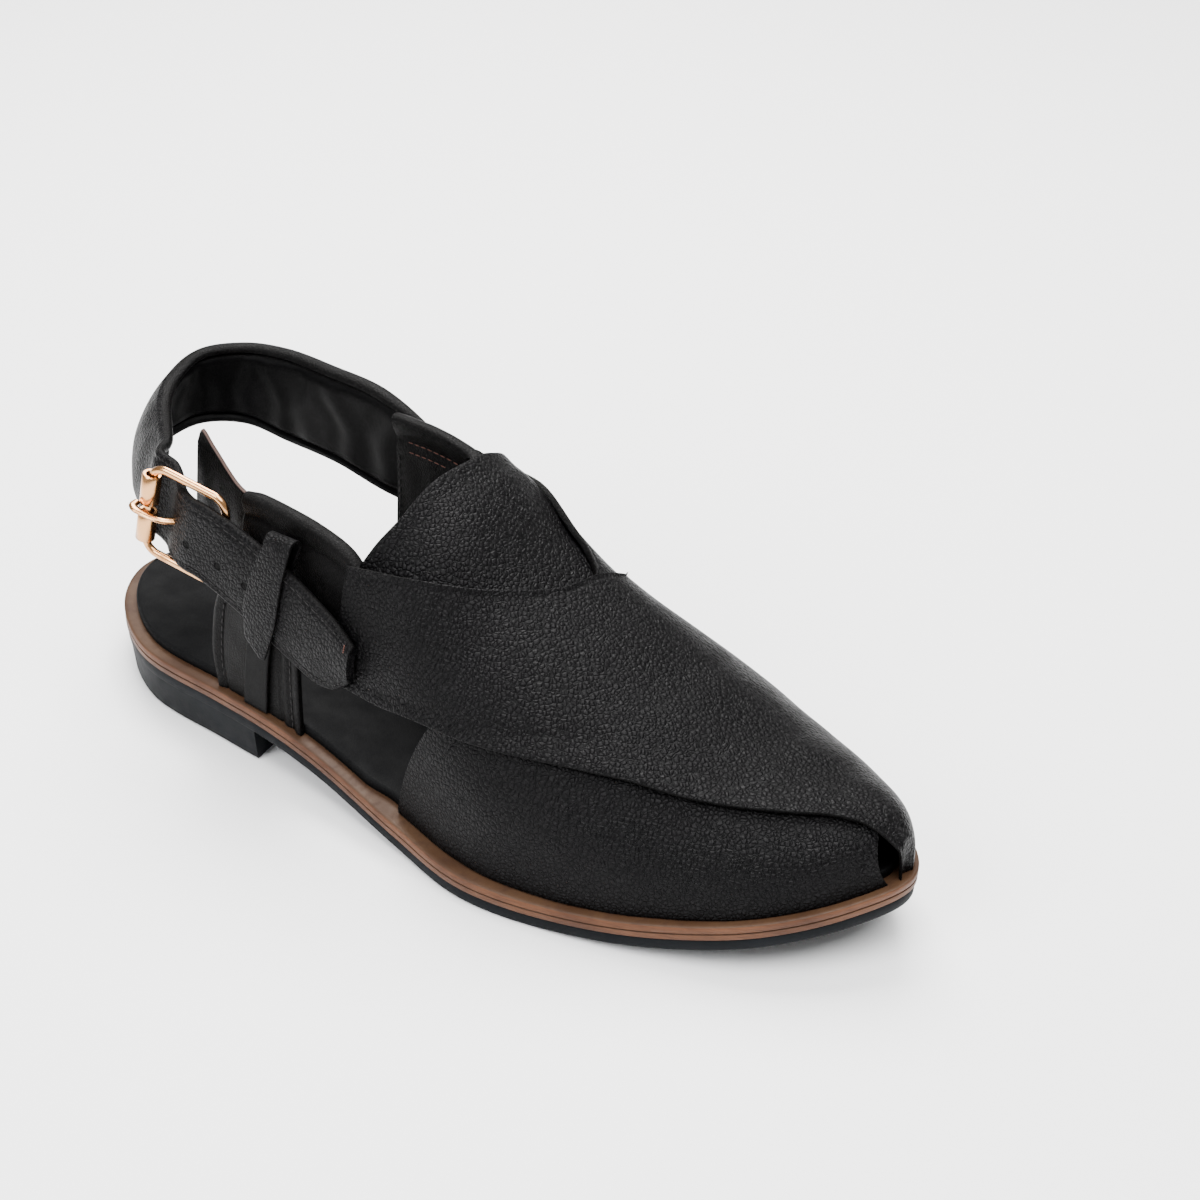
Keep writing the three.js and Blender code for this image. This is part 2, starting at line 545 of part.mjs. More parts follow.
// Wall panel given by rows up from the sole
function tallPanel(rows, side, innerLayer, wall, top, steps, across) {
  const rear = column(rows, 'rise', 'rear');
  const front = column(rows, 'rise', 'front');
  const out = column(rows, 'rise', 'out');
  return sheet(steps, across, (s, t, face) => {
    const x = (rear(s) + (front(s) - rear(s)) * t) * SOLE_LENGTH;
    const foot = seatHeight(x) + GLUE_GAP;
    return wallPoint(x, foot + (top * COLLAR_HEIGHT - foot) * s, side, innerLayer + out(s) + face * wall);
  });
}

function makeKeeper() {
  const back = { rear: column(KEEPER_ROWS, 'rise', 'rear'), front: column(KEEPER_ROWS, 'rise', 'front') };
  const faceRows = KEEPER_FACE.slice().reverse();
  const outer = { rear: column(faceRows, 'rise', 'rear'), front: column(faceRows, 'rise', 'front') };
  const topRise = KEEPER_ROWS[KEEPER_ROWS.length - 1].rise;
  const endRise = faceRows[0].rise;
  const bend = (LOOP_LAYER - KEEPER_LAYER) / 2;
  const legOut = column(LATERAL_LEG, 'rise', 'out');
  const middle = KEEPER_LAYER + bend;
  const [upShare, bendShare] = [0.5, 0.14];
  return sheet(22, 2, (s, t, face) => {
    let rise = topRise;
    let edge = back;
    let layer = KEEPER_LAYER + face * KEEPER_WALL;
    let lift = 0;
    if (s < upShare) {
      const foot = (seatHeight(KEEPER_ROWS[0].rear * SOLE_LENGTH) + GLUE_GAP) / COLLAR_HEIGHT;
      rise = foot + (topRise - foot) * (s / upShare);
      layer += legOut((rise - foot) / (LEG_TOP - foot));
    } else if (s < upShare + bendShare) {
      const angle = (Math.PI * (s - upShare)) / bendShare;
      const radius = bend - face * KEEPER_WALL;
      layer = middle + KEEPER_WALL / 2 - Math.cos(angle) * (radius + KEEPER_WALL / 2);
      lift = Math.sin(angle) * (radius + KEEPER_WALL / 2);
    } else {
      rise = topRise + (endRise - topRise) * ((s - upShare - bendShare) / (1 - upShare - bendShare));
      edge = outer;
      layer = LOOP_LAYER + KEEPER_WALL - face * KEEPER_WALL;
    }
    const x = (edge.rear(rise) + (edge.front(rise) - edge.rear(rise)) * t) * SOLE_LENGTH;
    const point = wallPoint(x, rise * COLLAR_HEIGHT, -1, layer);
    point.z += lift;
    return point;
  });
}

// Point given as shares of the sole's length, the heel's width and the collar's height
function shoePoint(length, width, height) {
  return new THREE.Vector3(length * SOLE_LENGTH, width * HEEL_WIDTH, height * COLLAR_HEIGHT);
}

// Axes of the buckle's plane
function buckleFrame() {
  const up = new THREE.Vector3(BUCKLE_UP.x, BUCKLE_UP.y, BUCKLE_UP.z).normalize();
  const ahead = new THREE.Vector3(BUCKLE_AHEAD.x, BUCKLE_AHEAD.y, BUCKLE_AHEAD.z);
  ahead.addScaledVector(up, -ahead.dot(up)).normalize();
  const out = new THREE.Vector3().crossVectors(ahead, up);
  const middle = shoePoint(BUCKLE_AT.length, BUCKLE_AT.width, BUCKLE_AT.height);
  return new THREE.Matrix4().makeBasis(ahead, up, out).setPosition(middle);
}

// Low and high edge of the strap at each row, with its bulge and thickness
function strapSections() {
  const frame = buckleFrame();
  const loopRows = STRAP_ROWS.map((row) => ({
    low: shoePoint(row.lowX, row.lowY, row.lowZ),
    high: shoePoint(row.highX, row.highY, row.highZ),
    bulge: row.bulge,
    thick: row.thick * STRAP_PADDING,
  }));
  const passRows = PASS_ROWS.map((row) => ({
    low: new THREE.Vector3(row.along, -BILLET_WIDTH / 2, row.out).applyMatrix4(frame),
    high: new THREE.Vector3(row.along, BILLET_WIDTH / 2, row.out - row.lean).applyMatrix4(frame),
    bulge: 0,
    thick: BILLET_WALL,
  }));
  const billetRows = BILLET_ROWS.map((row) => ({
    low: wallPoint(row.at * SOLE_LENGTH, row.low * COLLAR_HEIGHT, -1, BILLET_LAYER + BILLET_WALL / 2),
    high: wallPoint(row.at * SOLE_LENGTH, row.high * COLLAR_HEIGHT, -1, BILLET_LAYER + BILLET_WALL / 2),
    bulge: 0.8,
    thick: BILLET_WALL,
  }));
  return [...loopRows, ...passRows, ...billetRows];
}

function makeStrap() {
  const sections = strapSections();
  const lowCurve = new THREE.CatmullRomCurve3(sections.map((s) => s.low), false, 'centripetal');
  const highCurve = new THREE.CatmullRomCurve3(sections.map((s) => s.high), false, 'centripetal');
  const indexed = sections.map((s, i) => ({ ...s, at: i / (sections.length - 1) }));
  const thick = column(indexed, 'at', 'thick');
  const bulge = column(indexed, 'at', 'bulge');
  const points = [];
  const faces = [];
  const ring = [[-1, 0], [-1, 0.5], [0, 0.5], [1, 0.5], [1, 0], [1, -0.5], [0, -0.5], [-1, -0.5]];
  for (let i = 0; i <= STRAP_STEPS; i += 1) {
    const t = i / STRAP_STEPS;
    const [low, high] = [lowCurve.getPoint(t), highCurve.getPoint(t)];
    const along = lowCurve.getTangent(t).add(highCurve.getTangent(t)).normalize();
    const up = high.clone().sub(low);
    const height = up.length();
    up.normalize();
    const outward = new THREE.Vector3().crossVectors(up, along).normalize();
    const middle = low.clone().add(high).multiplyScalar(0.5);
    ring.forEach(([rise, out]) => {
      const edge = out === 0 ? height / 2 : height / 2 - STRAP_CORNER * thick(t);
      const push = out * thick(t) + (rise === 0 ? -bulge(t) : 0);
      points.push(middle.clone().addScaledVector(up, rise * edge).addScaledVector(outward, push));
    });
  }
  const count = ring.length;
  for (let i = 0; i < STRAP_STEPS; i += 1) {
    for (let j = 0; j < count; j += 1) {
      const k = (j + 1) % count;
      faces.push([i * count + j, i * count + k, (i + 1) * count + k], [i * count + j, (i + 1) * count + k, (i + 1) * count + j]);
    }
  }
  const end = STRAP_STEPS * count;
  const caps = [[0, 1, 7], [1, 2, 6], [1, 6, 7], [2, 3, 5], [2, 5, 6], [3, 4, 5]];
  caps.forEach(([a, b, c]) => faces.push([a, c, b], [end + a, end + b, end + c]));
  const slot = new THREE.BoxGeometry(SLOT.to - SLOT.from, SLOT.height, BUCKLE_LENGTH);
  slot.translate((SLOT.from + SLOT.to) / 2, 0, 0).applyMatrix4(buckleFrame());
  return fromManifold(toManifold(solidFrom(points, faces)).subtract(toManifold(slot)));
}

// Sole pieces
function makeOutsole() {
  const top = (x) => soleTop(x);
  const slab = outlineStack([
    { inset: 1.0, height: (x) => soleTop(x) - OUTSOLE_THICKNESS },
    { inset: 0.4, height: (x) => soleTop(x) - OUTSOLE_THICKNESS + 0.6 },
    { inset: 0.4, height: top },
  ]);
  const block = outlineStack([
    { inset: HEEL_TAPER + 0.9, height: () => 0 },
    { inset: HEEL_TAPER, height: () => 0.9 },
    { inset: 0.4, height: (x) => Math.max(soleTop(x) - OUTSOLE_THICKNESS + 0.6, 1.2) },
    { inset: 0.9, height: (x) => Math.max(soleTop(x) - OUTSOLE_THICKNESS / 2, 1.8) },
  ]);
  const reach = HEEL_WIDTH * 1.5;
  const box = new THREE.BoxGeometry(BREAST_AT * 2, reach * 2, HEEL_HEIGHT * 3);
  const hollow = new THREE.CylinderGeometry(reach, reach, HEEL_HEIGHT * 4, 72).rotateX(Math.PI / 2);
  hollow.translate(BREAST_AT - BREAST_HOLLOW + reach, 0, 0);
  const heel = toManifold(block).intersect(toManifold(box)).subtract(toManifold(hollow));
  return fromManifold(toManifold(slab).add(heel));
}

function makeMidsole() {
  const base = (x) => soleTop(x) + GLUE_GAP;
  const rim = 0.5;
  const groove = MIDSOLE_THICKNESS * 0.47;
  return outlineStack([
    { inset: 0, height: base },
    { inset: 0, height: (x) => base(x) + groove - GROOVE_DEPTH },
    { inset: GROOVE_DEPTH, height: (x) => base(x) + groove },
    { inset: 0, height: (x) => base(x) + groove + GROOVE_DEPTH },
    { inset: 0, height: (x) => base(x) + MIDSOLE_THICKNESS - rim },
    { inset: rim, height: (x) => base(x) + MIDSOLE_THICKNESS },
  ]);
}

function makeInsole() {
  const under = FEATHER.rear - UNDER_LAYER + GLUE_GAP;
  const inset = (share) => LEDGE_WIDTH + (under - LEDGE_WIDTH) * smoothStep(share, 0.455, 0.495);
  const shoulder = 0.8;
  const base = (x) => seatHeight(x) + GLUE_GAP;
  return outlineStack([
    { inset, height: base },
    { inset, height: (x) => base(x) + INSOLE_THICKNESS - shoulder },
    { inset: (share) => inset(share) + shoulder, height: (x) => base(x) + INSOLE_THICKNESS },
  ]);
}

// Buckle pieces, in the frame's own plane: X from the rear bar to the front bar, Y up the bars
function roundedRectangle(path, left, right, bottom, top, radius) {
  path.moveTo(left + radius, bottom);
  path.lineTo(right - radius, bottom);
  path.absarc(right - radius, bottom + radius, radius, -Math.PI / 2, 0, false);
  path.lineTo(right, top - radius);
  path.absarc(right - radius, top - radius, radius, 0, Math.PI / 2, false);
  path.lineTo(left + radius, top);
  path.absarc(left + radius, top - radius, radius, Math.PI / 2, Math.PI, false);
  path.lineTo(left, bottom + radius);
  path.absarc(left + radius, bottom + radius, radius, Math.PI, Math.PI * 1.5, false);
  return path;
}

function makeFrame() {
  const half = BUCKLE_HEIGHT / 2;
  const bar = BUCKLE_BAR;
  const front = BUCKLE_LENGTH;
  const outer = roundedRectangle(new THREE.Shape(), -bar / 2, front, -half, half, BUCKLE_CORNER);
  const inner = roundedRectangle(new THREE.Path(), bar / 2, front - bar, -half + bar, half - bar, BUCKLE_CORNER - bar);
  outer.holes.push(inner);
  const bevel = 0.5;
  const geometry = new THREE.ExtrudeGeometry(outer, {
    depth: bar - 2 * bevel,
    curveSegments: 5,
    bevelEnabled: true,
    bevelThickness: bevel,
    bevelSize: bevel,
    bevelOffset: -bevel,
    bevelSegments: 1,
  });
  return geometry.translate(0, 0, -(bar - 2 * bevel) / 2);
}

function makeRoller(from, to) {
  const ring = new THREE.Shape().absarc(0, 0, ROLLER_RADIUS, 0, Math.PI * 2, false);
  ring.holes.push(new THREE.Path().absarc(0, 0, ROLLER_BORE, 0, Math.PI * 2, true));
  const sleeve = new THREE.ExtrudeGeometry(ring, { depth: to - from, curveSegments: 7, bevelEnabled: false });
  return sleeve.rotateX(-Math.PI / 2).translate(0, from, 0);
}

// Side shape of the prong: curled tip over the rear bar, down through the billet, under the front bar
function makeProng() {
  const over = ROLLER_RADIUS;
  const under = -BUCKLE_BAR / 2 - GLUE_GAP;
  const shape = new THREE.Shape();
  shape.moveTo(-4.4, over - 2.6);
  shape.quadraticCurveTo(-4.6, over + 1.6, 0, over + 1.9);
  shape.lineTo(7.0, over + 0.9);
  shape.lineTo(15.0, under);
  shape.lineTo(BUCKLE_LENGTH + 0.6, under);
  shape.lineTo(BUCKLE_LENGTH + 0.6, under - 1.5);
  shape.lineTo(13.6, under - 1.5);
  shape.lineTo(6.2, over - 0.7);
  shape.lineTo(0.4, over + 0.3);
  shape.quadraticCurveTo(-3.1, over + 0.1, -3.1, over - 2.2);
  const prong = new THREE.ExtrudeGeometry(shape, { depth: PRONG_WIDTH, curveSegments: 5, bevelEnabled: false });
  return prong.rotateX(Math.PI / 2).translate(0, PRONG_WIDTH / 2, 0);
}

// Turns a shape drawn in the buckle's plane into its place
function onBuckle(geometry) {
  return geometry.applyMatrix4(buckleFrame());
}

function node(name, geometry, finish) {
  const mesh = new THREE.Mesh(geometry, new THREE.MeshStandardMaterial(finish));
  mesh.name = name;
  return mesh;
}

const shoe = new THREE.Group();
shoe.add(node('outsole', makeOutsole(), FINISH.rubber));
shoe.add(node('midsole', makeMidsole(), FINISH.welt));
shoe.add(node('insole', makeInsole(), FINISH.lining));
shoe.add(node('upper', makeUpper(), FINISH.leather));
shoe.add(node('tongue', makeTongue(), FINISH.leather));
shoe.add(node('lateral_collar', longPanel(LATERAL_COLLAR, -1, COLLAR_LAYER, COLLAR_WALL, 12, 4), FINISH.leather));
shoe.add(node('medial_collar', longPanel(MEDIAL_COLLAR, 1, MEDIAL_COLLAR_LAYER, COLLAR_WALL, 12, 4), FINISH.leather));
shoe.add(node('lateral_leg', tallPanel(LATERAL_LEG, -1, LEG_LAYER, LEG_WALL, LEG_TOP, 6, 4), FINISH.leather));
shoe.add(node('medial_leg', tallPanel(MEDIAL_LEG, 1, MEDIAL_LEG_LAYER, LEG_WALL, LEG_TOP, 6, 4), FINISH.leather));
shoe.add(node('guard', longPanel(GUARD_ROWS, -1, GUARD_LAYER, GUARD_WALL, 8, 4), FINISH.leather));
shoe.add(node('keeper', makeKeeper(), FINISH.leather));
shoe.add(node('back_strap', makeStrap(), FINISH.leather));
const rollerEnd = BUCKLE_HEIGHT / 2 - BUCKLE_CORNER;
const rollerStart = PRONG_WIDTH / 2 + GLUE_GAP;
shoe.add(node('buckle_frame', onBuckle(makeFrame()), FINISH.gold));
shoe.add(node('roller_upper', onBuckle(makeRoller(rollerStart, rollerEnd)), FINISH.gold));
shoe.add(node('roller_lower', onBuckle(makeRoller(-rollerEnd, -rollerStart)), FINISH.gold));
shoe.add(node('prong', onBuckle(makeProng()), FINISH.gold));

const chappal = new THREE.Group();
chappal.add(shoe);
const box = new THREE.Box3().setFromObject(shoe);
const centre = box.getCenter(new THREE.Vector3());
shoe.position.set(-centre.x, -centre.y, -box.min.z);

export default chappal;
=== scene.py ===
"""Peshawari chappal, right shoe: leather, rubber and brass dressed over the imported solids."""

from __future__ import annotations

import logging
import math
from bisect import bisect_right
from dataclasses import dataclass, field
from enum import Enum
from typing import Callable, Sequence

import bmesh
import bpy
from mathutils import Matrix, Vector

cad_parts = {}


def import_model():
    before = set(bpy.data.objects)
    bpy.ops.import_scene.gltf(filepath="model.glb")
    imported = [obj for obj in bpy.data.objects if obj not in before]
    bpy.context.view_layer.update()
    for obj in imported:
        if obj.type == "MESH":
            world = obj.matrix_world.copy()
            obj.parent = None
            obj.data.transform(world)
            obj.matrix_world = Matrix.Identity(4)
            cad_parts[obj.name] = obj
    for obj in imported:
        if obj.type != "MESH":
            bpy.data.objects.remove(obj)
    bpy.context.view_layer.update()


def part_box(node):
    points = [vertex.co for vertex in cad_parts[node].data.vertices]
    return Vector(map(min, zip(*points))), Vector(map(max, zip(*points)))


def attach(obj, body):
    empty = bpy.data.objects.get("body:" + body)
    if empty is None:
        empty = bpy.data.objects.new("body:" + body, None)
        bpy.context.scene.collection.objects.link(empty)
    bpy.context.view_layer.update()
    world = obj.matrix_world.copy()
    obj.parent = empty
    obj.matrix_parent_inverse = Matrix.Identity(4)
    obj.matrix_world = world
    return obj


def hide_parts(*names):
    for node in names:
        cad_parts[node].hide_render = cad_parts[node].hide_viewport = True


LOG = logging.getLogger("chappal")
MM = 0.001
# millimetres within which two vertices are one
MERGE = 0.001
FRAME = 1200

Rows = Sequence[Sequence[float]]
Pairs = list[tuple[Vector, Vector]]
Color = tuple[float, float, float, float]
Place = tuple[float, float, float]
Reading = Callable[[float], float]
Surface = Callable[[float, float], Vector]
Paint = Callable[[float, float], int]


class Side(Enum):
    """Side of the foot."""

    LATERAL = -1
    MEDIAL = 1


class Finish(Enum):
    """Finishes of the shoe, by the names of their materials."""

    PEBBLED = "pebbled_leather"
    PUNCHED = "punched_leather"
    SMOOTH = "smooth_leather"
    LINING = "lining"
    FOOTBED = "footbed"
    RAW = "raw_edge"
    RED = "red_thread"
    DARK = "dark_thread"
    RUBBER = "sole_rubber"
    WELT = "tan_welt"
    GOLD = "pale_gold"


# the sole's outline: share of the length, reach outside, reach inside
HEEL_ROWS = ((0.03, 0.25, 0.32), (0.12, 0.505, 0.49), (0.25, 0.56, 0.455))
BALL_ROWS = (
    (0.40, 0.410, 0.272), (0.52, 0.464, 0.314), (0.62, 0.513, 0.420), (0.72, 0.470, 0.484),
    (0.82, 0.388, 0.453), (0.91, 0.266, 0.352), (0.97, 0.105, 0.226),
)
# the form's sections: share, ridge, spine, fullness outside and inside, belly outside and inside
LAST_ROWS = (
    (0.20, 1.13, 0.02, 2.4, 2.6, 0.00, 0.00), (0.34, 1.00, 0.03, 2.4, 2.8, 0.00, 0.055),
    (0.42, 0.895, 0.06, 2.5, 3.3, 0.005, 0.065), (0.50, 0.81, 0.12, 2.6, 3.3, 0.01, 0.055),
    (0.56, 0.685, 0.125, 2.5, 2.8, 0.01, 0.03), (0.62, 0.585, 0.125, 2.4, 2.4, 0.01, 0.01),
    (0.68, 0.50, 0.125, 2.3, 2.3, 0.01, 0.01), (0.74, 0.42, 0.125, 2.3, 2.3, 0.01, 0.01),
    (0.82, 0.307, 0.115, 2.2, 2.2, 0.01, 0.01), (0.90, 0.217, 0.105, 2.2, 2.2, 0.005, 0.005),
    (0.96, 0.150, 0.087, 2.2, 2.2, 0.00, 0.00), (0.985, 0.075, 0.077, 2.2, 2.2, 0.00, 0.00),
    (1.00, 0.030, 0.077, 2.2, 2.2, 0.00, 0.00),
)
# the bands' edges, free and held: share and turn of each
TOP_BAND = (
    (0.981, -0.44, 0.9825, 0.98), (0.977, -0.33, 0.972, 1), (0.963, -0.27, 0.945, 1),
    (0.945, -0.235, 0.905, 1), (0.92, -0.25, 0.85, 1), (0.885, -0.31, 0.77, 1),
    (0.845, -0.37, 0.68, 1), (0.80, -0.42, 0.59, 1), (0.75, -0.465, 0.505, 1),
    (0.72, -0.50, 0.56, 0.76), (0.685, -0.54, 0.597, 0.47), (0.65, -0.585, 0.612, 0.20),
    (0.61, -0.64, 0.60, -0.04), (0.56, -0.71, 0.562, -0.23), (0.49, -0.81, 0.50, -0.44),
    (0.424, -0.85, 0.422, -0.57),
)
UNDER_BAND = (
    (0.963, -0.28, 0.978, -0.98), (0.948, -0.10, 0.957, -1), (0.93, 0.06, 0.925, -1),
    (0.91, 0.19, 0.88, -1), (0.885, 0.29, 0.82, -1), (0.85, 0.36, 0.74, -1),
    (0.81, 0.41, 0.66, -1), (0.77, 0.45, 0.585, -1), (0.73, 0.49, 0.512, -1),
    (0.70, 0.52, 0.565, -0.82), (0.665, 0.56, 0.594, -0.60), (0.63, 0.60, 0.607, -0.30),
    (0.59, 0.66, 0.606, -0.02), (0.55, 0.71, 0.577, 0.15), (0.49, 0.80, 0.52, 0.30),
    (0.415, 0.86, 0.42, 0.55),
)
# the tongue: turn, rear edge, front edge
TONGUE_ROWS = (
    (-0.56, 0.429, 0.560), (-0.49, 0.438, 0.600), (-0.32, 0.456, 0.630), (-0.14, 0.462, 0.640),
    (0.00, 0.467, 0.645), (0.14, 0.468, 0.640), (0.32, 0.464, 0.630), (0.47, 0.446, 0.600),
    (0.53, 0.434, 0.560),
)
# panels that run along: share, low, high, inward
LATERAL_COLLAR = (
    (0.275, 0.62, 1.01, 0), (0.295, 0.57, 1.02, 0), (0.345, 0.55, 1.005, 0), (0.385, 0.55, 0.98, 0),
    (0.410, 0.55, 0.955, 0), (0.422, 0.56, 0.935, 0), (0.439, 0.59, 0.89, 0),
)
MEDIAL_COLLAR = (
    (0.325, 0.64, 1.115, 0), (0.340, 0.60, 1.12, 0), (0.365, 0.57, 1.12, 0), (0.395, 0.55, 1.11, 0),
    (0.412, 0.56, 1.098, 0), (0.424, 0.60, 1.088, 0), (0.432, 0.98, 1.080, 0), (0.448, 1.035, 1.064, 0),
)
GUARD_ROWS = (
    (0.176, 0.80, 1.05, 6.5), (0.184, 0.72, 1.10, 5.6), (0.208, 0.68, 1.065, 3.8),
    (0.255, 0.67, 0.99, 1.0), (0.300, 0.68, 0.955, 0),
)
# panels that stand up: rise, rear, front, out
LATERAL_LEG = (
    (0.0, 0.243, 0.368, 1.3), (0.35, 0.236, 0.366, 0.8), (0.7, 0.240, 0.364, 0.3), (1.0, 0.252, 0.362, 0.0),
)
MEDIAL_LEG = (
    (0.0, 0.350, 0.440, 2.4), (0.35, 0.348, 0.430, 1.6), (0.7, 0.344, 0.412, 0.5), (1.0, 0.340, 0.400, 0.0),
)
# the keeper behind the strap's end and over it: rise, rear, front
KEEPER_ROWS = ((0.21, 0.286, 0.320), (0.45, 0.292, 0.325), (0.75, 0.312, 0.347), (0.93, 0.330, 0.364))
KEEPER_FACE = (
    (0.50, 0.326, 0.334), (0.57, 0.306, 0.342), (0.66, 0.305, 0.350), (0.80, 0.315, 0.356), (0.93, 0.330, 0.364),
)
# the strap in millimetres: low edge x, y, z; high edge x, y, z; bulge; share of the padding
STRAP_ROWS = (
    (110, 32.0, 61, 110, 29.0, 88, 1.2, 0.45), (100, 33.5, 61, 100, 31.5, 92.4, 1.0, 0.60),
    (80, 35.0, 61.5, 80, 33.5, 98, 0.5, 1.0), (60, 35.0, 65, 60, 34.0, 99, 0.5, 1.0),
    (40, 34.0, 66.5, 40, 33.5, 99.5, 1.0, 1.0), (25, 29.0, 70.5, 27, 28.5, 99.5, 2.0, 1.0),
    (14, 18.0, 71.5, 18, 17.5, 98.5, 3.0, 1.0), (10.5, 5.0, 69.5, 18, 6.0, 94.5, 3.5, 1.0),
    (15, -9.0, 68, 24, -4.0, 92.5, 3.5, 1.0), (23, -19.0, 66.5, 33, -13.0, 91.5, 3.0, 0.95),
    (33, -27.0, 65.5, 42, -22.0, 91.5, 1.5, 0.8),
)
# the strap through the buckle: along, out of its plane, top edge inward
PASS_ROWS = ((-5, -6.0, 5.0), (2, -5.4, 3.5), (7, -3.4, 1.0), (11, 0.0, 0.0), (16, 2.6, 0.0), (23, 3.2, 0.0))
# the strap's end: share, low, high
BILLET_ROWS = (
    (0.300, 0.605, 0.915), (0.350, 0.545, 0.86), (0.400, 0.495, 0.79), (0.430, 0.510, 0.745), (0.452, 0.57, 0.70),
)
# punched holes, drawn as painted shade and a dent: place along, height
HOLES = ((66.5, 72.0), (77.5, 69.0), (89.0, 65.5))


class Column:
    """Smooth column of a table, as a function of another column."""

    def __init__(self, rows: Sequence[Sequence[float]], key: int, value: int) -> None:
        """Take one column against another.

        Args:
            rows: table rows in rising order of the key column.
            key: number of the key column.
            value: number of the value column.
        """
        self.x = [float(row[key]) for row in rows]
        self.y = [float(row[value]) for row in rows]
        rise = [(b - a) / (q - p) for a, b, p, q in zip(self.y, self.y[1:], self.x, self.x[1:])]
        self.slope = [rise[0]]
        for before, after in zip(rise, rise[1:]):
            self.slope.append(0.0 if before * after <= 0 else 2 * before * after / (before + after))
        self.slope.append(rise[-1])

    def __call__(self, value: float) -> float:
        """Read the column.

        Args:
            value: place in the key column.

        Returns:
            The smooth value there.
        """
        v = min(max(value, self.x[0]), self.x[-1])
        i = min(max(bisect_right(self.x, v) - 1, 0), len(self.x) - 2)
        w = self.x[i + 1] - self.x[i]
        t = (v - self.x[i]) / w
        one = (1 + 2 * t) * (1 - t) ** 2 * self.y[i] + t * (1 - t) ** 2 * w * self.slope[i]
        return one + t * t * (3 - 2 * t) * self.y[i + 1] + t * t * (t - 1) * w * self.slope[i + 1]


class Spline:
    """Centripetal curve through points, open or closed."""

    def __init__(self, points: Sequence[Vector], closed: bool = False) -> None:
        """Keep the points.

        Args:
            points: points that the curve passes through.
            closed: whether the curve comes home.
        """
        self.points = [Vector(p) for p in points]
        self.closed = closed

    def at(self, share: float) -> Vector:
        """Find a point.

        Args:
            share: place along the curve from 0 to 1.

        Returns:
            The point there.
        """
        pts, count = self.points, len(self.points)
        if self.closed:
            share %= 1.0
        place = (count - (0 if self.closed else 1)) * share
        i = min(int(math.floor(place)), count - (1 if self.closed else 2))
        t = place - i
        b, c = pts[i % count], pts[(i + 1) % count]
        a = pts[(i - 1) % count] if self.closed or i > 0 else 2 * pts[0] - pts[1]
        d = pts[(i + 2) % count] if self.closed or i + 2 < count else 2 * pts[-1] - pts[-2]
        d0, d1, d2 = ((q - p).length ** 0.5 for p, q in ((a, b), (b, c), (c, d)))
        t1 = ((b - a) / d0 - (c - a) / (d0 + d1) + (c - b) / d1) * d1
        t2 = ((c - b) / d1 - (d - b) / (d1 + d2) + (d - c) / d2) * d1
        return b + t1 * t + (-3 * b + 3 * c - 2 * t1 - t2) * t * t + (2 * b - 2 * c + t1 + t2) * t ** 3


def smooth_step(value: float, low: float, high: float) -> float:
    """Ease from 0 to 1.

    Args:
        value: where to read.
        low: place where it leaves 0.
        high: place where it reaches 1.

    Returns:
        The eased share.
    """
    t = min(max((value - low) / (high - low), 0.0), 1.0)
    return t * t * (3 - 2 * t)


def bell(value: float, centre: float, width: float) -> float:
    """Give a soft hump.

    Args:
        value: where to read.
        centre: middle of the hump.
        width: its spread.

    Returns:
        The height from 0 to 1.
    """
    return math.exp(-((value - centre) / width) ** 2)


@dataclass(frozen=True)
class Bead:
    """Soft ridge, or trough where its height is below 0: middle and width as shares, height in millimetres."""

    at: float
    width: float
    height: float


def relief(beads: Sequence[Bead], value: float) -> float:
    """Add up beads at a share."""
    return sum(bead.height * bell(value, bead.at, bead.width) for bead in beads)


FREE_EDGE = (Bead(0.0, 0.03, 0.3), Bead(0.085, 0.025, -0.25))
HELD_EDGE = (Bead(1.0, 0.03, 0.3), Bead(0.93, 0.025, -0.18))
TONGUE_EDGE = (Bead(0.0, 0.05, 0.35), Bead(0.10, 0.04, -0.2))
TONGUE_DOME = (Bead(0.42, 0.16, 1.6), Bead(0.12, 0.16, -1.1))
ROLLED_EDGE = (Bead(0.95, 0.07, 1.0), Bead(0.82, 0.035, -0.7))
TAB_SEAMS = (
    Bead(0.03, 0.04, 0.7), Bead(0.97, 0.04, 0.7), Bead(0.84, 0.03, 0.35), Bead(0.11, 0.018, -0.45),
    Bead(0.90, 0.018, -0.45), Bead(0.78, 0.018, -0.45),
)
BED_HOLLOWS = (Bead(0.12, 0.10, 0.9), Bead(0.66, 0.12, 0.7))


